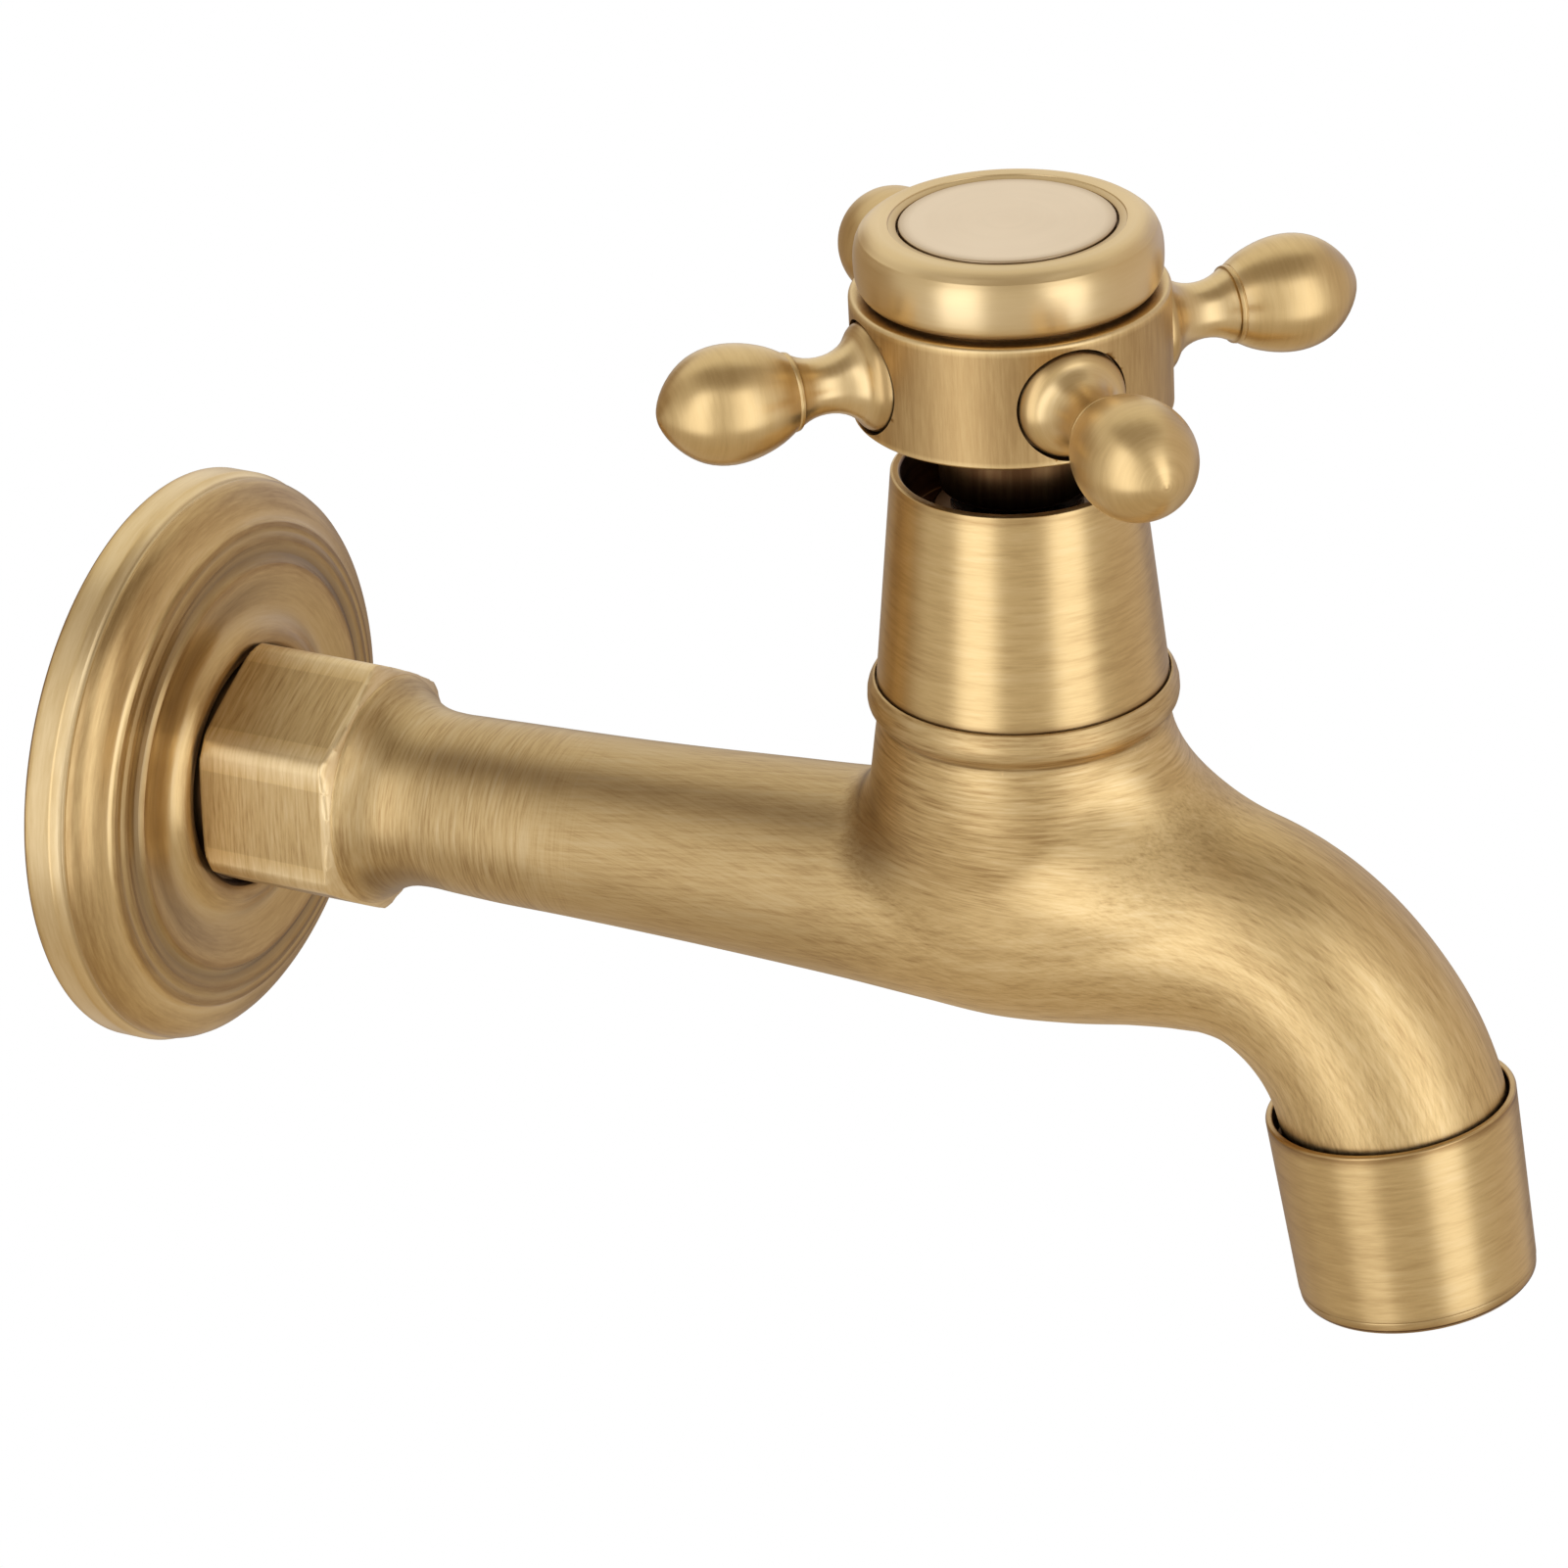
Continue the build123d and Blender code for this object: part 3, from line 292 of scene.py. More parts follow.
class Nodes:
    """The nodes of a material or a world, added by short calls."""

    def __init__(self, made):
        self.made = made
        made.use_nodes = True
        self.tree = made.node_tree
        self.tree.nodes.clear()

    def node(self, kind, inputs=None, **settings):
        made = self.tree.nodes.new("ShaderNode" + kind)
        for name, value in settings.items():
            setattr(made, name, value)
        for name, value in (inputs or {}).items():
            if isinstance(value, bpy.types.NodeSocket):
                self.tree.links.new(value, made.inputs[name])
            else:
                made.inputs[name].default_value = value
        return made

    def math(self, operation, *values):
        return self.node("Math", dict(enumerate(values)), operation=operation).outputs[0]

    def scaled(self, place, scale):
        return self.node("VectorMath", {0: place, 1: scale}, operation="MULTIPLY").outputs[0]

    def noise(self, place, scale=1.0, detail=2.0, rough=0.5):
        return self.node("TexNoise", {"Vector": place, "Scale": scale, "Detail": detail,
                                      "Roughness": rough}).outputs[0]

    def field(self, name, output="Vector"):
        """What the mesh stores under a name."""
        return self.node("Attribute", attribute_name=name).outputs[output]

    def spread(self, value, low, high):
        """A value from 0 to 1 as a value from low to high."""
        return self.node("MapRange", {0: value, 3: low, 4: high}).outputs[0]

    def mix(self, share, first, second):
        """The first value where share is 0 and the second where it is 1."""
        return self.node("Mix", {0: share, 2: first, 3: second}).outputs[0]

    def darkened(self, share, colour):
        """A colour that turns into the darkest brown as share goes from 0 to 1. The stains, the painted shade and
        the darker tops of inner pieces use it.
        """
        dark = (*DARKEST_BROWN, 1.0)
        return self.node("Mix", {0: share, 6: colour, 7: dark}, data_type="RGBA").outputs[2]

    def ramp(self, value, stops):
        made = self.node("ValToRGB", {0: value})
        stored = made.color_ramp.elements
        while len(stored) < len(stops):
            stored.new(0.5)
        for stop, (place, colour) in zip(stored, stops):
            stop.position = place
            stop.color = (*colour, 1.0)
        return made.outputs[0]

    def bump(self, strength, depth, height):
        return self.node("Bump", {"Strength": strength, "Distance": depth * MM,
                                  "Height": height}).outputs[0]

    def surface(self, shader):
        self.node("OutputMaterial", {"Surface": shader})
        return self.made


def new_material(name):
    return Nodes(bpy.data.materials.new(name))


# The darkest brown, used for stains and for painted shade
DARKEST_BROWN = (0.105, 0.050, 0.020)
PATINA = (0.250, 0.140, 0.055)
DEEP = (0.450, 0.290, 0.120)
BRASS = (0.655, 0.465, 0.210)
PALE = (0.820, 0.640, 0.360)
BRASS_TONES = (PATINA, DEEP, BRASS, PALE)
SATIN_TONES = ((0.50, 0.37, 0.22), (0.62, 0.48, 0.31), (0.76, 0.61, 0.42), (0.86, 0.73, 0.55))
TONE_STOPS = (0.0, 0.3, 0.55, 0.95)

# Brush lines for each millimetre, across the lines and along them
LINES_ACROSS = 3.4
LINES_ALONG = 0.3
CAST_LINES_ACROSS = 3.8
CAST_LINES_ALONG = 0.24
WIDE_LINES = 0.3            # the wide lines' number, as a share of the fine ones'
CROSS_SHARE = 0.42          # how much the lines that lean the other way count

# What moves the tone of the brass besides its lines
CLOUD_SCALE = 60.0
CLOUD_TONE = 0.24
WEAR_TONE = 0.38
STAIN_AND_SHADE_SPREAD = (0.5, 1.5)   # a stain or painted shade is this much weaker or stronger from place to place

ROUGH_SPREAD = 0.07
BRUSH_DEPTH = 0.02
WIDE_DEPTH = 0.6            # the wide lines' depth, as a share of the fine ones'
QUARTER_TURN = 0.25

# Pieces of plain metal, rubber, plastic and ceramic
MOTTLE_STOPS = (0.3, 0.7)
MOTTLE_DEPTH = 0.03
TURNING_MARKS = (200.0, 200.0, 3500.0)
TURNING_DARK = 0.72
TOP_DARKENING = 0.92
TOP_DARKENING_FADE = 3.0


def brush_lines(m, name, scale):
    """Fine and wide brush lines, from a stored place in millimetres."""
    place = m.field(name)
    fine = m.noise(m.scaled(place, scale), detail=3.0, rough=0.65)
    wide = m.noise(m.scaled(place, tuple(WIDE_LINES * part for part in scale)))
    return fine, wide


def antique_brass(name, contrast, rough, turned, relief=0.25, tone=0.53, uneven=0.6,
                  tones=BRASS_TONES, crossed=False):
    """Brushed brass with a dark patina. The mesh gives each point's place on the work, the way
    the brush ran, how worn it is, and how dark its stain and painted shade are."""
    m = new_material(name)
    across, along = LINES_ACROSS, LINES_ALONG
    if crossed:
        across, along = CAST_LINES_ACROSS, CAST_LINES_ALONG
    fine, wide = brush_lines(m, "grain", (across, along, along))
    if crossed:
        lengthwise = (along, across, across)
        long_fine, long_wide = brush_lines(m, "grain_long", lengthwise)
        cross_fine = brush_lines(m, "grain_cross", lengthwise)[0]
        long_share = m.field("long_share", "Fac")
        fine = m.mix(long_share, fine, m.mix(CROSS_SHARE, long_fine, cross_fine))
        wide = m.mix(long_share, wide, long_wide)
    cloud = m.noise(m.node("TexCoord").outputs["Object"], scale=CLOUD_SCALE, detail=3.0)
    level = tone - 0.5 * (contrast + uneven * contrast + CLOUD_TONE)
    for value, weight in ((fine, contrast), (wide, uneven * contrast), (cloud, CLOUD_TONE),
                          (m.field("wear", "Fac"), WEAR_TONE)):
        level = m.math("MULTIPLY_ADD", value, weight, level)
    colour = m.ramp(level, list(zip(TONE_STOPS, tones)))
    patchy = m.spread(m.mix(0.5, cloud, wide), *STAIN_AND_SHADE_SPREAD)
    colour = m.darkened(m.math("MULTIPLY", m.field("stain", "Fac"), patchy), colour)
    height = m.math("MULTIPLY_ADD", wide, WIDE_DEPTH, fine)
    tangent = m.node("VectorTransform", {0: m.field("lay")}, vector_type="VECTOR",
                     convert_from="OBJECT", convert_to="WORLD").outputs[0]
    shader = m.node("BsdfPrincipled", {
        "Base Color": colour, "Metallic": 1.0, "Anisotropic": turned,
        "Roughness": m.spread(fine, rough - ROUGH_SPREAD, rough + ROUGH_SPREAD),
        "Anisotropic Rotation": QUARTER_TURN, "Tangent": tangent,
        "Normal": m.bump(relief, BRUSH_DEPTH, height)})
    return m.surface(shader.outputs[0])


def plain_metal(name, colour, rough, scale=900.0, dark_above=None):
    """A bright metal with faint turning marks, and darker above a height if one is given."""
    m = new_material(name)
    place = m.node("TexCoord").outputs["Object"]
    marks = m.noise(place, scale=scale, detail=3.0)
    lines = m.noise(m.scaled(place, TURNING_MARKS))
    dark = tuple(TURNING_DARK * part for part in colour)
    tint = m.ramp(m.mix(0.5, marks, lines), list(zip(MOTTLE_STOPS, (dark, colour))))
    if dark_above:
        height = m.node("SeparateXYZ", {0: place}).outputs[2]
        start, end = dark_above * MM, (dark_above + TOP_DARKENING_FADE) * MM
        share = m.node("MapRange", {0: height, 1: start, 2: end, 4: TOP_DARKENING}).outputs[0]
        tint = m.darkened(share, tint)
    shader = m.node("BsdfPrincipled", {
        "Base Color": tint, "Metallic": 1.0,
        "Roughness": m.spread(lines, rough - ROUGH_SPREAD, rough + ROUGH_SPREAD)})
    return m.surface(shader.outputs[0])


def plain_solid(name, dark, light, rough, scale):
    """Rubber, plastic or ceramic with a fine mottle."""
    m = new_material(name)
    place = m.node("TexCoord").outputs["Object"]
    mottle = m.noise(place, scale=scale, detail=4.0, rough=0.6)
    shader = m.node("BsdfPrincipled", {
        "Base Color": m.ramp(mottle, list(zip(MOTTLE_STOPS, (dark, light)))),
        "Normal": m.bump(0.2, MOTTLE_DEPTH, mottle),
        "Roughness": m.spread(mottle, rough - 0.06, rough + 0.06)})
    return m.surface(shader.outputs[0])


# The casting as one smooth shape: a tube along a line, melted together with the boss. The line
# is given by distance from the wall, height and radius, down the arm and the spout
CASTING_LINE = [
    (22.0, 0.0, 11.3), (23.9, 0.0, 11.6), (24.7, 0.0, 11.88), (25.2, 0.0, 11.85),
    (26.0, 0.0, 11.22), (27.0, 0.0, 10.45), (28.0, 0.0, 9.88), (29.0, 0.0, 9.48),
    (30.2, 0.0, 9.2), (32.0, 0.0, 9.06), (35.0, 0.0, 9.14), (40.0, 0.05, 9.29),
    (46.0, 0.2, 9.38), (55.0, 0.42, 9.6), (70.0, 0.85, 10.2), (80.0, 1.12, 10.7),
    (88.0, 1.45, 11.35), (96.0, 2.05, 12.15), (103.0, 2.95, 12.3), (110.3, 3.85, 12.0),
    (115.8, 3.95, 11.6), (120.4, 3.4, 11.15), (124.6, 1.9, 10.8), (128.5, -0.8, 10.67),
    (131.75, -4.3, 10.67), (134.15, -8.15, 10.83), (135.8, -12.6, 11.02),
    (137.0, -20.7, 11.02),
]
LINE_POINTS = 420
LINE_STRIDE = 7
line, line_length = smooth_line(CASTING_LINE, LINE_POINTS)
line_way = np.gradient(line[:, :2], line_length, axis=0)
line_way /= np.linalg.norm(line_way, axis=1)[:, None]
line_growth = np.gradient(line[:, 2], line_length)

BOSS_R = 14.1
BOSS_TOP = 23.2
BOSS_BOTTOM = -4.0
BOSS_HALF_WIDTHS = [(-6.0, 3.5), (-3.0, 6.5), (0.0, 9.3), (3.0, 11.2), (7.0, 12.35), (11.5, 13.35),
                    (16.0, 14.0), (20.0, 14.2), (23.2, 14.1), (27.0, 14.1)]
BOSS_LENGTHS = [(-6.0, 0.3), (-3.0, 0.5), (0.0, 0.72), (3.0, 0.88), (7.0, 1.0)]
ARM_SIDE_SLOPE = 0.17
SPOUT_SIDE_SLOPE = 0.05
SPOUT_SIDE_BOW = 0.012
BLEND_SIDES = 2.5
BLEND_ARM = 3.5
BLEND_SPOUT = 9.2
BLEND_FULL_Z = 8.0          # the fillets are widest above this height and fade below it
FLARE_DROP = 17.0           # the boss widens no more when it is this far below its top
SEARCH_CHUNK = 20000


def nearest_on_line(x, z):
    """The number of the line's point nearest to each place of the side view."""
    flat = np.stack((x.ravel(), z.ravel()), -1)
    index = np.empty(len(flat), int)
    around = np.arange(-LINE_STRIDE, LINE_STRIDE + 1)
    for start in range(0, len(flat), SEARCH_CHUNK):
        part = flat[start:start + SEARCH_CHUNK, None]
        rough = ((part - line[None, ::LINE_STRIDE, :2]) ** 2).sum(-1).argmin(1) * LINE_STRIDE
        near = np.clip(rough[:, None] + around, 0, LINE_POINTS - 1)
        best = ((part - line[near, :2]) ** 2).sum(-1).argmin(1)
        index[start:start + SEARCH_CHUNK] = near[np.arange(len(near)), best]
    return index.reshape(x.shape)


def beside_line(x, z, index):
    """How far a place is past a point of the line, and how far off to its upper side."""
    away_x, away_z = x - line[index, 0], z - line[index, 1]
    past = away_x * line_way[index, 0] + away_z * line_way[index, 1]
    return past, away_z * line_way[index, 0] - away_x * line_way[index, 1]


def tube_gap(x, y, z, index):
    """Distance outside the tube of the arm and spout, near the given points of its line."""
    past, offset = beside_line(x, z, index)
    return np.hypot(offset, y) - (line[index, 2] + line_growth[index] * past)


def boss_gap(x, y, z):
    """Distance outside the boss, which widens a little as it comes down."""
    drop = np.clip(BOSS_TOP - z, 0, FLARE_DROP)
    from_axis = x - VALVE_X
    spout_side = BOSS_R + SPOUT_SIDE_SLOPE * drop + SPOUT_SIDE_BOW * drop**2
    half_length = np.where(from_axis > 0, spout_side, BOSS_R + ARM_SIDE_SLOPE * drop)
    half_width = np.interp(z, *zip(*BOSS_HALF_WIDTHS))
    half_length = half_length * np.interp(z, *zip(*BOSS_LENGTHS))
    across, side = from_axis / half_length, y / half_width
    reach = np.hypot(across, side)
    slope = np.maximum(np.hypot(across / half_length, side / half_width), TINY)
    return np.maximum(reach * (reach - 1) / slope, BOSS_BOTTOM - z)


def casting_gap(x, y, z, index):
    """Distance outside the casting: the tube and the boss with a round fillet between them."""
    tube = tube_gap(x, y, z, index)
    boss = boss_gap(x, y, z)
    facing = (x - VALVE_X) / np.maximum(np.hypot(x - VALVE_X, y), TINY)
    wide = np.where(facing > 0, BLEND_SPOUT, BLEND_ARM)
    blend = BLEND_SIDES + (wide - BLEND_SIDES) * facing**2 * np.clip(z / BLEND_FULL_Z, 0, 1)
    hollow = np.hypot(np.maximum(blend - tube, 0), np.maximum(blend - boss, 0))
    return np.maximum(blend, np.minimum(tube, boss)) - hollow


def surface_net(values, origin, step):
    """Points and four-sided faces where a grid of values crosses 0."""
    inside = values < 0
    cells = tuple(n - 1 for n in values.shape)
    total = np.zeros((*cells, 3))
    count = np.zeros(cells)
    for axis, ahead in enumerate(np.eye(3, dtype=int)):
        for corner in np.ndindex(2, 2, 2):
            if corner[axis]:
                continue
            a, b = (values[tuple(slice(near, near + n) for near, n in zip(place, cells))]
                    for place in (corner, corner + ahead))
            crosses = (a < 0) != (b < 0)
            total[..., axis] += np.where(crosses, a / np.where(crosses, a - b, 1), 0)
            total += crosses[..., None] * np.array(corner)
            count += crosses
    active = count > 0
    number = -np.ones(cells, int)
    number[active] = np.arange(active.sum())
    points = origin + step * (np.argwhere(active) + total[active] / count[active][:, None])
    faces = []
    for axis in range(3):
        first, second = (axis + 1) % 3, (axis + 2) % 3
        low, high = [slice(1, -1)] * 3, [slice(1, -1)] * 3
        low[axis], high[axis] = slice(0, cells[axis]), slice(1, cells[axis] + 1)
        edge = np.argwhere(inside[tuple(low)] != inside[tuple(high)])
        flip = inside[tuple(high)][tuple(edge.T)]
        corners = []
        for ahead, aside in ((0, 0), (1, 0), (1, 1), (0, 1)):
            cell = edge.copy()
            cell[:, first] += ahead
            cell[:, second] += aside
            corners.append(number[tuple(cell.T)])
        quads = np.stack(corners, -1)
        quads[flip] = quads[flip][:, ::-1]
        faces.append(quads)
    return points, np.vstack(faces)


CASTING_START = 23.0
CASTING_END = 5.5           # how far the spout's end reaches into the nozzle sleeve
CASTING_TOP = BOSS_TOP + 0.4
CASTING_LOW = np.array((21.0, -17.0, -24.0))
CASTING_HIGH = np.array((151.0, 17.0, 26.0))
NUDGE = 0.05                # step for the slope of the shape at a point
FLATTEST = 0.2              # a slope, squared, is taken to be at least this


def down_nozzle(x, z):
    """How far a place is down the nozzle's axis."""
    return (x - NOZZLE_TOP[0]) * NOZZLE[1][0] + (z - NOZZLE_TOP[2]) * NOZZLE[1][2]


def past_ends(x, z):
    """Distance outside the flat cuts at the casting's three ends."""
    at_wall_or_top = np.maximum(CASTING_START - x, z - CASTING_TOP)
    return np.maximum(at_wall_or_top, down_nozzle(x, z) - CASTING_END)


def casting_mesh():
    """The arm, boss and spout as a closed mesh whose points lie on the smooth shape."""
    counts = ((CASTING_HIGH - CASTING_LOW) / CASTING_STEP).astype(int)
    x, y, z = (CASTING_LOW[i] + CASTING_STEP * np.arange(counts[i]) for i in range(3))
    flat_x, flat_z = np.meshgrid(x, z, indexing="ij")
    index = np.broadcast_to(nearest_on_line(flat_x, flat_z)[:, None], (len(x), len(y), len(z)))
    grid = np.meshgrid(x, y, z, indexing="ij")
    values = np.maximum(casting_gap(*grid, index), past_ends(grid[0], grid[2]))
    points, faces = surface_net(values, CASTING_LOW, CASTING_STEP)
    free = past_ends(points[:, 0], points[:, 2]) < -CASTING_STEP
    for _ in range(2):
        part = points[free]
        index = nearest_on_line(part[:, 0], part[:, 2])
        near = casting_gap(*part.T, index)
        slope = np.stack([(casting_gap(*(part + NUDGE * side).T, index) - near) / NUDGE
                          for side in np.eye(3)], -1)
        points[free] = part - (near / np.maximum((slope**2).sum(-1), FLATTEST))[:, None] * slope
    return make_mesh("tap_casting", points, faces.tolist())


# Pieces

HEX_FLAT = 12.0
HEX_FILLET = 2.1
HEX_CROWN = 0.16
HEX_TURN = -3.0             # the hexagon's upper corner leans this much from upright
HEX_SEGMENTS = 720
# Distances from the wall, and the radius that the turned ends leave there
HEX_STATIONS = [(9.95, 13.0), (10.02, 13.2), (10.25, 13.45), (10.5, 13.6)]
HEX_STATIONS += [(x, 14.0) for x in np.arange(11.3, 23.8, 0.8)]
HEX_STATIONS += [(24.0, 13.7), (24.12, 13.62), (24.25, 13.42), (24.6, 12.82), (24.95, 12.2),
                 (25.08, 11.95), (25.5, 11.1)]


def hexagon_reach(angle):
    """Distance of the hexagon's filleted outline from its centre, at an angle from a corner."""
    off_corner = abs((angle + pi / 6) % (pi / 3) - pi / 6)
    fillet_centre = (HEX_FLAT - HEX_FILLET) / cos(pi / 6)
    fillet_ends = atan2(HEX_FILLET * 0.5, fillet_centre + HEX_FILLET * cos(pi / 6))
    if off_corner < fillet_ends:
        deep = HEX_FILLET**2 - (fillet_centre * sin(off_corner)) ** 2
        return fillet_centre * cos(off_corner) + sqrt(deep)
    across = tan(pi / 6 - off_corner) / tan(pi / 6 - fillet_ends)
    return (HEX_FLAT + HEX_CROWN * (1 - across**2)) / cos(pi / 6 - off_corner)


def hexagon_mesh():
    """The spanner hexagon with crowned flats, soft corners and both ends turned to a cone."""
    angles = np.arange(HEX_SEGMENTS) * 2 * pi / HEX_SEGMENTS
    reach = np.array([hexagon_reach(angle) for angle in angles])
    turned = angles + radians(HEX_TURN)
    places = [(HEX_STATIONS[0][0], 0.0, 0.0)]
    for x, limit in HEX_STATIONS:
        held = np.minimum(reach, limit)
        places += zip([x] * HEX_SEGMENTS, -held * np.sin(turned), held * np.cos(turned))
    places.append((HEX_STATIONS[-1][0], 0.0, 0.0))
    last = len(places) - 1
    faces = []
    for column in range(HEX_SEGMENTS):
        after = (column + 1) % HEX_SEGMENTS
        faces.append((0, 1 + column, 1 + after))
        for row in range(len(HEX_STATIONS) - 1):
            here, there = 1 + row * HEX_SEGMENTS, 1 + (row + 1) * HEX_SEGMENTS
            faces.append((here + column, there + column, there + after, here + after))
        faces.append((last, last - HEX_SEGMENTS + after, last - HEX_SEGMENTS + column))
    return make_mesh("hexagon", places, faces)


THREAD_PITCH = 1.814
THREAD_MAJOR_R = 10.4775
THREAD_DEPTH = 1.16
THREAD_FLAT = 0.12          # the crests and the roots are flat for this share of the pitch
THREAD_START = 0.9          # the thread comes in over this length and runs out over the next
THREAD_RUNOUT = 0.6
TAIL_BORE_R = 6.2
WATERWAY_R = 5.5


def thread_ripple(along, angle, radius):
    """The true helical thread on the tail, fading out at both ends."""
    phase = (along / THREAD_PITCH + angle / (2 * pi)) % 1.0
    height = 1 - np.clip((abs(phase - 0.5) * 2 - THREAD_FLAT) / (1 - 2 * THREAD_FLAT), 0, 1)
    height = height * np.clip((along - TAIL_END) / THREAD_START + 0.35, 0, 1)
    height = height * np.clip(-along / THREAD_RUNOUT + 0.1, 0, 1)
    threaded = (radius > 10) & (along < 0.2) & (along >= TAIL_END)
    return np.where(threaded, THREAD_DEPTH * (height - 1), 0.0)


def casting():
    """The body: tail with its thread, hexagon, arm, boss with its bead, and spout, bored out."""
    solid = casting_mesh()
    added = [
        hexagon_mesh(),
        lathe("tail", INLET, [
            (11.0, 0, 0), (11.0, 11.6, 0), (8.2, 11.6), (8.2, 9.3, 0.1), (0.6, 9.3, 0.1),
            (0.2, THREAD_MAJOR_R, 0), (TAIL_END + 0.1, THREAD_MAJOR_R, 0), (TAIL_END, 8.9, 0.1),
            (TAIL_END, 0, 0)], ripple=thread_ripple),
        lathe("bead", VALVE, [
            (20.0, 0, 0), (20.0, 12.5, 0), (22.6, 13.9, 0.1), (23.0, 14.12, 0.2),
            (23.35, 14.3, 0.6), (24.1, 14.98, 0.9), (25.1, 15.13, 2.0), (26.1, 14.88, 0.9),
            (26.75, 14.5, 0.3), (26.85, 14.27, 0.08), (26.15, 14.18, 0.05), (26.2, 0, 0)]),
        lathe("spigot", NOZZLE, [(4.0, 0, 0), (4.0, 10.35), (9.15, 10.35), (9.15, 0, 0)])]
    removed = [
        lathe("bore", INLET, [
            (TAIL_END - 1, 0, 0), (TAIL_END - 1, 7.4, 0), (TAIL_END + 0.6, TAIL_BORE_R, 0.1),
            (70, TAIL_BORE_R), (74, WATERWAY_R), (VALVE_X, WATERWAY_R, 0), (VALVE_X, 0, 0)],
            SMALL_SEGMENTS),
        lathe("chamber", VALVE, [
            (-4.5, 0, 0), (-4.2, 3.5), (-1.0, 6.0), (7.55, 6.0), (7.55, 10.42), (15.2, 10.42),
            (15.2, 10.22), (24.33, 10.22), (24.33, 11.42), (27.5, 11.42, 0), (27.5, 0, 0)],
            SMALL_SEGMENTS)]
    for other in added:
        join(solid, other, "UNION")
    for other in removed:
        join(solid, other, "DIFFERENCE")
    return solid


def settled(made, node, body, material):
    """Give a piece its material and its body, and hide the CAD node that it stands for."""
    made.data.materials.clear()
    made.data.materials.append(material)
    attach(made, body)
    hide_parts(node)


def smooth_faces(made):
    """Smooth shading, except across edges where faces meet at more than the sharp angle."""
    made.data.shade_smooth()
    made.data.set_sharp_from_angle(angle=radians(SHARP_ANGLE))


# Where the casting's brushing, staining and painted shade change
ROUND_LINES_TO = 44.0       # from the wall to here the lines run round the arm
LONG_LINES_FROM = 53.0      # from here on they run along it
VALVE_FROM = 60.0           # past here they run round the boss where the boss stands out
VALVE_BLEND = 1.5
LEAN = 0.010                # radians that the long lines turn round the arm for each millimetre
CROSS_LEAN = -0.025
LINE_PACE = [(0, 0), (80, 50), (100, 76), (200, 262)]   # lines get shorter down the spout
ARM_REFLECTION_BAND = 57.0             # the arm's dark streak, a painted reflection of a dark overhead, is this many degrees up its side
ARM_REFLECTION_BAND_HALF = 13.0
ARM_ROOT = (84.5, 9.5)      # the painted shade where the arm meets the boss, and its reach
ARM_ROOT_HALF = (4.5, 4.0)
EDGE_WEAR = 0.8


def unit(vectors):
    """Vectors made one long."""
    return vectors / np.maximum(np.linalg.norm(vectors, axis=1), TINY)[:, None]


def between(value, low, high):
    """0 at low and 1 at high, held outside them."""
    return np.clip((value - low) / (high - low), 0, 1)


def leaning(along, y, offset, lean):
    """A place whose cross section turns as it goes along, so that lines on it lean."""
    turn = lean * along
    return np.stack((np.interp(along, *zip(*LINE_PACE)), y * np.cos(turn) - offset * np.sin(turn),
                     y * np.sin(turn) + offset * np.cos(turn)), -1)


def casting_marks(x, y, z, depth, round_arm):
    """How stained, shaded and worn the casting is, from how deep inside the smooth outer shape a
    point is and how many degrees up the arm's side. The darkening in the waterway, behind and
    under the hexagon, under the cone, at the arm's root, in the fillet, under the bead, under the
    bell, in the chamber and in the sleeve is painted shade, and the arm's band is a painted
    reflection of a dark overhead."""
    from_axis, from_stem = np.hypot(y, z), np.hypot(x - VALVE_X, y)
    near_valve = x > VALVE_FROM
    on_hexagon = (x > 9.9) & (x < 24.1) & (from_axis > 11.8)
    corner = between(from_axis, 12.75, 13.35) * on_hexagon
    chamfer = (x > 24.05) * (x < 25.1) * (from_axis > 11.9)
    fillet = between(-depth, 0.15, 1.1) * near_valve * between(x, VALVE_X - 2, VALVE_X - 7)
    # A painted reflection of a dark overhead, as a dark band along the arm's upper side
    painted_reflection_band = np.exp(-((round_arm - ARM_REFLECTION_BAND) / ARM_REFLECTION_BAND_HALF) ** 2) * between(x, 26.0, 36.0)
    past_root = (x - ARM_ROOT[0]) / ARM_ROOT_HALF[0], (z - ARM_ROOT[1]) / ARM_ROOT_HALF[1]
    stains = {
        "thread": 0.45 * (x < -0.1),
        "waterway": 0.85 * (from_axis < 6.6) * (x < 75),
        "back of the hexagon": 0.8 * between(x, 10.06, 9.98) * (x > -0.1),
        "flats": 0.14 * on_hexagon * (corner < 0.1),
        "underside": 0.4 * on_hexagon * between(z, -6.7, -7.4) * between(from_axis, 13.3, 13.0),
        "cone": 0.24 * between(x, 24.8, 26.0) * between(x, 40.0, 30.0),
        "under the cone": (0.55 * between(round_arm, -8.0, -32.0)
                           * between(x, 25.0, 27.0) * between(x, 40.0, 32.0)),
        "arm": (0.22 * between(x, 24.0, 34.0) * between(x, 90.0, 78.0)
                + 0.34 * painted_reflection_band * between(x, 88.0, 82.0)),
        "arm's root": 0.65 * np.exp(-past_root[0]**2 - past_root[1]**2),
        "fillet": 0.7 * fillet * between(z, 7.0, 10.0) * between(z, 21.5, 19.5),
        "under the bead": 0.45 * between(abs(z - 23.0), 0.35, 0.1) * (from_stem < 14.6),
        "bead": 0.14 * (z > 23.0) * (from_stem > 14.3),
        "under the bell": 0.7 * (z > 26.0) * (from_stem < 14.22),
        "chamber": 0.8 * (from_stem < 11.6) * (z < 26.15) * (depth > 0.8) * near_valve,
        "in the sleeve": 0.85 * between(down_nozzle(x, z), 0.0, 0.4) * (x > 120)}
    return np.max(list(stains.values()), axis=0), EDGE_WEAR * (corner + chamfer)


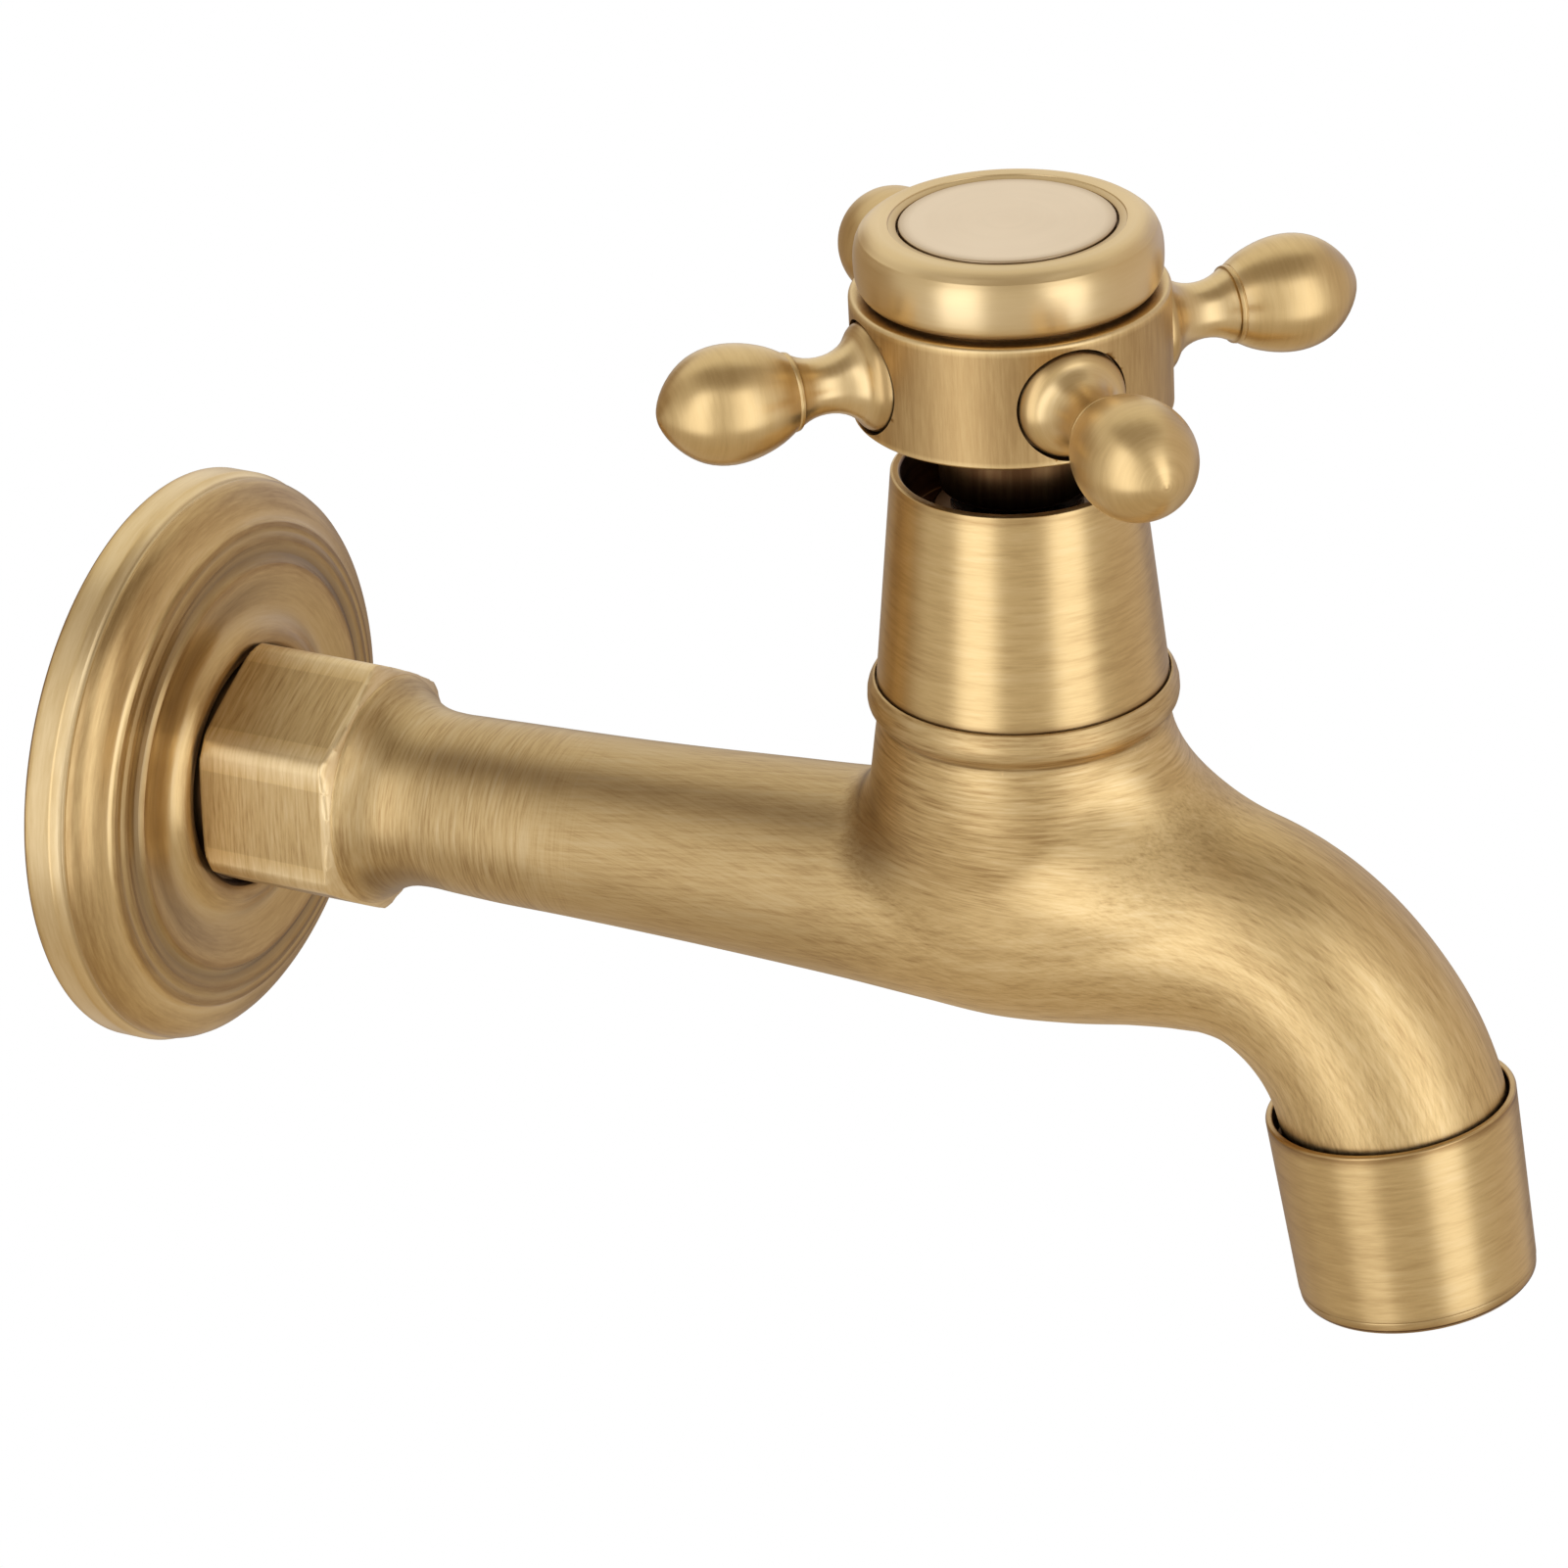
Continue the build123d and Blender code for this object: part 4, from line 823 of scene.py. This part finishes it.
def paint_casting(made):
    """Give the casting its brush lines, worn edges, stains and painted shade."""
    x, y, z = read_points(made.data).T
    index = nearest_on_line(x, z)
    past, offset = beside_line(x, z, index)
    tail, near_valve = x < CASTING_START, x > VALVE_FROM
    along = np.where(tail, x, line_length[index] + past + line[0, 0])
    offset = np.where(tail, z, offset)
    way = np.stack((line_way[index, 0], np.zeros(len(x)), line_way[index, 1]), -1)
    way[tail] = X_AXIS
    out = np.stack((-way[:, 2] * offset, y, way[:, 0] * offset), -1)
    tube, boss = tube_gap(x, y, z, index), boss_gap(x, y, z)
    on_boss = between(tube - boss, -VALVE_BLEND, VALVE_BLEND) * near_valve
    long_share = between(x, ROUND_LINES_TO, LONG_LINES_FROM) * (1 - on_boss)
    grain = np.where(near_valve[:, None], np.stack((z, x - VALVE_X, y), -1),
                     np.stack((along, y, offset), -1))
    from_valve = np.stack((x - VALVE_X, y, 0 * x), -1)
    lay = np.where(near_valve[:, None], np.cross(Z_AXIS, from_valve), np.cross(way, out))
    lay = unit(unit(lay) * (1 - long_share[:, None]) + way * long_share[:, None])
    round_arm = np.degrees(np.arctan2(offset, abs(y)))
    stain, wear = casting_marks(x, y, z, -np.minimum(tube, boss), round_arm)
    write_attributes(made.data, grain=grain, lay=lay, grain_long=leaning(along, y, offset, LEAN),
                     grain_cross=leaning(along, y, offset, CROSS_LEAN), long_share=long_share,
                     stain=stain, wear=wear)


cast_brass = antique_brass("cast_brass", 1.0, 0.42, 0.3, relief=0.4, uneven=0.4, crossed=True)
round_brass = antique_brass("antique_brass", 0.42, 0.34, 0.7)
plate_brass = antique_brass("plate_brass", 0.42, 0.34, 0.6, relief=0.2, tone=0.5)
# The drum's dark tone is painted shade that holds its reflections down.
drum_brass_painted_shade = antique_brass("drum_brass_painted_shade", 0.28, 0.36, 0.6, relief=0.1, tone=0.33)
# The cap ring's pale tone is partly wear and partly a painted highlight.
ring_brass_worn_and_painted_bright = antique_brass("ring_brass_worn_and_painted_bright", 0.14, 0.35, 0.8, relief=0.1, tone=0.84)
soft_brass = antique_brass("soft_brass", 0.22, 0.32, 0.6, relief=0.1, tone=0.58)
satin_brass = antique_brass("satin_brass", 0.1, 0.34, 0.0, relief=0.08, tone=0.54,
                            tones=SATIN_TONES)
body_piece = casting()
smooth_faces(body_piece)
paint_casting(body_piece)
settled(body_piece, "body", "tap_body", cast_brass)


# Wall flange: a lip, a quarter round, two faint ridges, a groove, a dish and a collar. The
# stains and painted shade are given as strengths, and as places on the profile below

def flange_stain(along, radius):
    """Painted shade in the grooves, behind the plate and inside the hole; a darker tone on the dish, and the lip
    worn bright.
    """
    groove = 0.3 * between(radius, 21.2, 21.6) * between(radius, 25.6, 24.8)
    bottom = 0.34 * between(abs(radius - 22.3), 1.0, 0.3)
    neck = 0.3 * between(abs(along - 4.3), 0.35, 0.1) * (radius > 29.2)
    hole = 0.85 * (radius < 12.4)
    behind = 0.6 * ((along < 6.5) & (radius < 27.7))
    dish = 0.16 * between(radius, 21.0, 19.5) * between(radius, 14.5, 16.0)
    lip = 0.75 * (radius > 29.3) * (along > 0.3) * (along < 4.0)
    return np.maximum.reduce([groove + bottom, neck, hole, behind, dish]) - lip


flange = lathe("flange_plate", FLANGE_LINE, [
    (0.0, 27.6), (0.0, 29.75), (0.25, 30.0, 0.25), (3.1, 30.0, 0.7), (3.95, 29.62, 0.4),
    (4.25, 29.38, 0.2), (4.55, 29.4, 0.12),
    *soft_run((4.75, 29.5), (5.5, 29.25), (6.35, 28.5), (7.0, 27.4), (7.32, 26.4), (7.46, 25.95)),
    (7.72, 25.65, 0.08), (7.98, 25.45, 0.15),
    (8.1, 25.0, 0.3), (8.06, 24.5, 0.3), (8.28, 24.0, 0.25), (8.36, 23.6, 0.25), (8.26, 23.1, 0.3),
    (8.22, 22.3, 0.4), (8.45, 21.7, 0.3), (8.85, 21.3, 0.2),
    *soft_run((8.87, 21.0), (8.84, 20.3), (8.7, 19.4), (8.3, 17.7), (8.12, 16.5), (8.3, 15.6),
              (8.85, 14.8), (9.3, 14.1), (9.42, 13.3)),
    (9.25, 12.6, 0.2), (9.0, 12.2), (8.2, 12.2), (8.2, 10.7), (6.4, 10.7), (6.4, 22.0, 0.5),
    (6.0, 24.6, 1.0), (5.0, 27.0, 1.0)], FLANGE_SEGMENTS, stain=flange_stain)
settled(flange, "wall_flange", "tap_body", plate_brass)


# Bell
BELL_HEIGHTS = (26.9, 48.33)
BELL_RADII = (14.1, 11.94)
BELL_WALL = 0.88


def bell_stain(along, radius):
    """Painted shade inside and along the lower edge next to the bead. The rim is worn bright, and this is also a
    painted highlight.
    """
    inside = radius < np.interp(along, BELL_HEIGHTS, BELL_RADII) - BELL_WALL
    return 0.95 * inside + 0.3 * ((along < 27.15) & ~inside) - 0.9 * ((along > 48.0) & ~inside)


bell = lathe("bell", VALVE, [
    (26.25, 14.08), (26.95, 14.08), (48.24, 11.93, 0.12), (48.33, 11.7, 0.1), (48.33, 11.2, 0.08),
    (48.1, 10.98, 0.1), (42.6, 10.9), (42.6, 8.2), (40.4, 8.2), (40.4, 11.2), (28.4, 12.7),
    (26.25, 12.8)], stain=bell_stain)
settled(bell, "bonnet_shroud", "tap_body", round_brass)


# Sleeve round the spout's end

def sleeve_stain(along, radius):
    """Painted shade inside and in a faint groove line near the lower edge, and worn bright on the upper rim."""
    inside = (radius < 11.56) & (along < 19.3)
    line_mark = 0.3 * between(abs(along - 18.3), 0.25, 0.05)
    return 0.9 * inside + line_mark - 0.6 * ((along < 0.2) & ~inside)


sleeve = lathe("spout_sleeve", NOZZLE, [
    (0.0, 11.65, 0.1), (0.05, 12.2, 0.3), (18.2, 11.68, 0.05), (18.3, 11.6, 0.05),
    (18.42, 11.64, 0.1), (19.2, 11.56, 0.5), (19.65, 11.15, 0.4), (19.65, 9.5), (19.45, 9.3),
    (18.2, 9.3), (18.2, 9.9), (9.2, 9.9), (9.2, 10.4), (3.2, 10.4), (2.7, 11.5), (0.1, 11.5)],
    stain=sleeve_stain)
settled(sleeve, "nozzle_sleeve", "tap_body", round_brass)


# Hub of the handle
HUB_R = 15.16
HUB_LOW = 54.57
HUB_TOP = 66.7
HUB_STEM_R = 3.65
SOCKET_R = 5.5
SPLINE_TEETH = 20
SPLINE_DEPTH = 0.4
UPRIGHT = LINES_ACROSS / LINES_ALONG


def spline_ripple(along, angle, radius):
    """Grooves inside the hub's neck that fit the spindle's splines."""
    return SPLINE_DEPTH * ((radius < HUB_STEM_R + 0.05) & (np.sin(angle * SPLINE_TEETH) > 0.3))


def paint_hub(made, socket_lines):
    """The drum is wiped upwards. Its neck, its underside, its recess and its sockets are darkened with painted
    shade.
    """
    places = read_points(made.data)
    x, y, z = places.T
    from_stem = np.hypot(x - VALVE_X, y)
    grain = np.stack((z / UPRIGHT, (x - VALVE_X) * UPRIGHT, y * UPRIGHT), -1)
    side = between(z, 54.8, 55.2) * between(z, 66.4, 66.1)
    stains = [0.9 * (from_stem < 13.1), 0.65 * between(from_stem, 14.6, 13.8) * (z < 55.0)]
    for origin, outward in socket_lines:
        along = (places - origin) @ outward
        off = np.linalg.norm(places - origin - along[:, None] * outward, axis=1)
        stains.append(0.85 * (along > 9) * (off < SOCKET_R + 0.06) * (from_stem < HUB_R - 0.06))
    write_attributes(made.data, grain=grain, lay=np.broadcast_to(Z_AXIS, grain.shape),
                     wear=0.9 * between(from_stem, 14.2, 14.8) * (1 - side),
                     stain=np.max(stains, axis=0))


hub = lathe("handle_drum", VALVE, [
    (46.7, HUB_STEM_R), (46.7, 7.0), (47.0, 7.3, 0.2), (54.3, 7.3, 0.4), (HUB_LOW, 8.0, 0.15),
    (HUB_LOW, 14.9, 0.12), (54.8, HUB_R, 0.12), (HUB_TOP, HUB_R, 0.45), (HUB_TOP, 12.5),
    (63.0, 12.5), (63.0, 8.4), (60.0, 8.4), (60.0, 2.2), (57.3, 2.2), (57.3, HUB_STEM_R)],
    ripple=spline_ripple)
arm_lines = []
for number in range(ARM_COUNT):
    turn = radians(HANDLE_ANGLE + 360 / ARM_COUNT * number)
    arm_lines.append((np.array((VALVE_X, 0.0, ARM_Z)), np.array((cos(turn), sin(turn), 0.0))))
for arm_line in arm_lines:
    socket = lathe("socket", arm_line, [
        (9.2, 0, 0), (9.2, 2.0), (13.2, 2.0), (13.2, SOCKET_R, 0.1), (20.0, SOCKET_R, 0),
        (20.0, 0, 0)], SMALL_SEGMENTS)
    join(hub, socket, "DIFFERENCE")
smooth_faces(hub)
paint_hub(hub, arm_lines)
settled(hub, "handle_hub", "handle", drum_brass_painted_shade)


# Cap and button

def cap_stain(along, radius):
    """Painted shade under the brim, on the neck, inside, and in the recess round the button."""
    under = 0.8 * between(along, 67.25, 67.0) + 0.8 * ((radius < 13.1) & (along < 73.0))
    return np.minimum(under, 0.8) + 0.2 * ((radius < 11.2) & (along > 73.0))


cap = lathe("cap_ring", VALVE, [
    (66.98, 12.95), (66.98, 13.55, 0.2),
    *soft_run((67.08, 13.8), (67.45, 14.16), (68.1, 14.42), (69.1, 14.54), (70.3, 14.56),
              (71.4, 14.45), (72.2, 14.18), (72.55, 13.95)),
    *soft_run((72.65, 13.83), (73.0, 13.45), (73.3, 12.9), (73.42, 12.3)), (73.42, 11.22, 0.06),
    (73.3, 11.14, 0.05), (73.2, 10.42, 0.1), (72.5, 10.35), (72.5, 9.6), (71.0, 9.6), (71.0, 0, 0),
    (69.8, 0, 0), (69.8, 9.6), (63.3, 9.6), (63.3, 12.4), (66.55, 12.4), (66.55, 12.95)],
    stain=cap_stain)
settled(cap, "handle_cap", "handle", ring_brass_worn_and_painted_bright)
button = lathe("top_button", VALVE, [
    (71.1, 0, 0), (71.1, 9.5), (72.55, 9.5), (72.55, 10.2), (73.28, 10.2, 0.12),
    (73.38, 10.0, 0.12), (73.4, 0, 0)])
settled(button, "index_button", "handle", satin_brass)


# Four turned arms

def arm_stain(along, radius):
    """Painted shade at the root in the socket and in the corner beside the ring."""
    return 0.85 * between(along, 14.2, 13.8) + 0.15 * between(abs(along - 22.1), 0.25, 0.05)


ARM_PROFILE = [
    (9.4, 0, 0), (9.4, 1.9), (13.2, 1.9), (13.2, 5.25),
    *soft_run((14.5, 5.3), (15.2, 5.0), (16.0, 3.95), (17.0, 3.22), (18.0, 2.85), (19.5, 2.7),
              (21.0, 2.97), (22.1, 3.5)),
    (22.2, 3.72, 0.1), (22.55, 3.8, 0.15), (22.68, 3.72, 0.06),
    *soft_run((22.75, 3.82), (24.0, 4.55), (25.5, 5.13), (27.0, 5.5), (28.5, 5.65), (30.0, 5.53),
              (31.5, 5.08), (32.9, 4.22), (34.05, 3.1), (34.9, 1.9), (35.4, 0.8), (35.55, 0.12)),
    (35.55, 0, 0)]
for number, arm_line in enumerate(arm_lines, 1):
    arm = lathe(f"ball_arm_{number}", arm_line, ARM_PROFILE, SMALL_SEGMENTS, stain=arm_stain)
    settled(arm, f"handle_arm_{number}", "handle", soft_brass)

# Materials of the inner pieces, which keep their CAD meshes
DARKER_ABOVE = 38.0
SLOT_MATERIALS = {
    "turned_brass": plain_metal("turned_brass", (0.62, 0.47, 0.24), 0.3, dark_above=DARKER_ABOVE),
    "steel": plain_metal("steel", (0.60, 0.60, 0.60), 0.28),
    "rubber": plain_solid("rubber", (0.018, 0.018, 0.019), (0.032, 0.032, 0.034), 0.6, 1500.0),
    "ceramic": plain_solid("ceramic", (0.82, 0.80, 0.76), (0.90, 0.89, 0.86), 0.3, 900.0),
    "plastic": plain_solid("plastic", (0.62, 0.62, 0.60), (0.70, 0.70, 0.68), 0.45, 1200.0),
}
for row in frame["record"]["subparts"]:
    material = SLOT_MATERIALS.get(row["material_slot"])
    if material:
        node = frame["nodes"][row["node"]]
        node.data.materials.clear()
        node.data.materials.append(material)


# Camera

def direction(azimuth, elevation):
    """A direction from its angle to the right of -Y and its angle upwards."""
    a, e = radians(azimuth), radians(elevation)
    return Vector((sin(a) * cos(e), -cos(a) * cos(e), sin(e)))


camera_data = bpy.data.cameras.new("camera")
camera_data.sensor_fit = "HORIZONTAL"
camera_data.sensor_width = SENSOR_WIDTH
camera_data.lens = FOCAL_PIXELS * SENSOR_WIDTH / IMAGE_SIZE
camera_data.clip_start = 0.01
camera = placed("camera", camera_data)
back = direction(CAMERA_AZIMUTH, CAMERA_ELEVATION)
level = Vector((-back.y, back.x, 0.0)).normalized()
right = Matrix.Rotation(radians(CAMERA_ROLL), 3, back) @ level
axes = Matrix((right, back.cross(right), back)).transposed()
camera.matrix_world = Matrix.Translation(CAMERA_PLACE) @ axes.to_4x4()
bpy.context.scene.camera = camera

# Studio
LOOK_AT = Vector((0.08, 0.0, 0.02))
FLOOR_Z = -0.55
FLOOR_REACH = 6.0
FLOOR_GREY = 0.8
WORLD_GREY = 0.4
WHITE = (1.0, 1.0, 1.0, 1.0)
SHELL_R = 1.0
SHELL_STEP = 3              # degrees
SHELL_LIFT = 0.02           # the shell keeps this far above the floor

# What the metal mirrors. Each panel is: degrees to the right of the camera, degrees above the
# object, half its width and height, softness of its edge, and colour, or None for an opening
GROUND = (0.74, 0.71, 0.69)
BRIGHT = (1.95, 2.02, 2.25)
PANELS = [
    (0, 78, 160, 24, 16, (0.38, 0.33, 0.28)),
    (180, 34, 58, 38, 24, None),
    (-128, -8, 34, 34, 22, (0.40, 0.31, 0.22)),
    (108, 0, 36, 46, 22, (0.68, 0.61, 0.57)),
    (142, -3, 16, 30, 16, (0.60, 0.58, 0.70)),
    (150, -33, 20, 16, 14, (0.30, 0.25, 0.23)),
    (180, -27, 22, 20, 14, (0.36, 0.31, 0.29)),
    (0, -45, 100, 22, 18, (0.62, 0.56, 0.50)),
    (-38, 8, 16, 38, 12, BRIGHT),
    (40, 8, 16, 36, 12, BRIGHT),
    (0, -80, 181, 26, 24, (0.60, 0.51, 0.40)),
]

# Each lamp: name, degrees to the right of the camera and above the object, distance, width,
# height and brightness
LAMPS = [
    ("left_box", -47, 8, 0.9, 0.4, 0.9, 1.2),
    ("right_box", 42, 6, 0.9, 0.4, 0.9, 1.2),
    ("top_box", 10, 75, 1.0, 0.8, 0.6, 0.8),
]


def soft_box(name, side, rise, distance, width, height, brightness):
    """A rectangular lamp turned to the object. What the metal mirrors of it is the soft panel in
    its place."""
    way = direction(CAMERA_AZIMUTH + side, rise)
    lamp = bpy.data.lights.new(name, "AREA")
    lamp.shape = "RECTANGLE"
    lamp.size, lamp.size_y = width, height
    lamp.energy = brightness * pi * width * height
    made = placed(name, lamp)
    made.location = LOOK_AT + way * distance
    made.rotation_mode = "QUATERNION"
    made.rotation_quaternion = (-way).to_track_quat("-Z", "Y")
    made.visible_camera = made.visible_glossy = False


def window(angle, half_width, softness):
    """1 inside a span of angles and 0 outside it, with soft ends."""
    share = np.clip((half_width - abs(angle)) / softness + 0.5, 0, 1)
    return share**2 * (3 - 2 * share)


def studio_shell():
    """A shell round the object that only reflections see: soft panels on a plain ground, open to
    the white background above the far side."""
    sides = np.arange(-180, 180, SHELL_STEP)
    rises = np.arange(-90, 91, SHELL_STEP)
    rise, side = (part.ravel() for part in np.meshgrid(rises, sides, indexing="ij"))
    a, e = np.radians(CAMERA_AZIMUTH + side), np.radians(rise)
    way = np.stack((np.sin(a) * np.cos(e), -np.cos(a) * np.cos(e), np.sin(e)), -1)
    reach = np.full(len(way), SHELL_R)
    low = way[:, 2] < -0.1
    reach[low] = np.minimum(SHELL_R, (FLOOR_Z + SHELL_LIFT - LOOK_AT.z) / way[low, 2])
    glow = np.tile(np.array(GROUND), (len(way), 1))
    share = np.ones(len(way))
    for middle, height, half_width, half_height, softness, colour in PANELS:
        turn = (side - middle + 180) % 360 - 180
        weight = window(turn, half_width, softness) * window(rise - height, half_height, softness)
        if colour is None:
            share *= 1 - weight
            continue
        glow += weight[:, None] * (np.array(colour) - glow)
        share += weight * (1 - share)
    columns = len(sides)
    cell = (np.arange(len(rises) - 1)[:, None] * columns + np.arange(columns)).ravel()
    beside = cell - cell % columns + (cell + 1) % columns
    faces = np.stack((cell, beside, beside + columns, cell + columns), -1)
    mesh = bpy.data.meshes.new("studio_shell")
    mesh.from_pydata((np.array(LOOK_AT) + way * reach[:, None]).tolist(), [], faces.tolist())
    write_attributes(mesh, glow=glow, share=share)
    made = placed("studio_shell", mesh)
    m = new_material("studio_shell")
    light = m.node("Emission", {"Color": m.field("glow")}).outputs[0]
    clear = m.node("BsdfTransparent").outputs[0]
    shader = m.node("MixShader", {0: m.field("share", "Fac"), 1: clear, 2: light})
    mesh.materials.append(m.surface(shader.outputs[0]))
    for kind in ("camera", "shadow", "diffuse", "transmission"):
        setattr(made, "visible_" + kind, False)


def sees_white(m):
    """1 for the rays that the floor and the world show plain white to, and 0 for the others."""
    rays = m.node("LightPath").outputs
    seen = m.math("MAXIMUM", rays["Is Camera Ray"], rays["Is Glossy Ray"])
    return m.math("MAXIMUM", seen, rays["Is Transmission Ray"])


def pale_floor():
    """A wide pale floor that shows white."""
    r, z = FLOOR_REACH, FLOOR_Z
    mesh = bpy.data.meshes.new("floor")
    mesh.from_pydata([(-r, -r, z), (r, -r, z), (r, r, z), (-r, r, z)], [], [(0, 1, 2, 3)])
    made = placed("floor", mesh)
    m = new_material("floor")
    pale = m.node("BsdfDiffuse", {"Color": (*[FLOOR_GREY] * 3, 1.0)}).outputs[0]
    white = m.node("Emission", {"Color": WHITE}).outputs[0]
    shader = m.node("MixShader", {0: sees_white(m), 1: pale, 2: white})
    mesh.materials.append(m.surface(shader.outputs[0]))


def white_world():
    """A world that is white to look at, and a plain soft grey light otherwise."""
    bpy.context.scene.world = bpy.data.worlds.new("world")
    m = Nodes(bpy.context.scene.world)
    strength = m.spread(sees_white(m), WORLD_GREY, 1.0)
    light = m.node("Background", {"Color": WHITE, "Strength": strength}).outputs[0]
    m.node("OutputWorld", {"Surface": light})


pale_floor()
white_world()
for lamp in LAMPS:
    soft_box(*lamp)
studio_shell()

bpy.context.scene.view_settings.view_transform = "Standard"
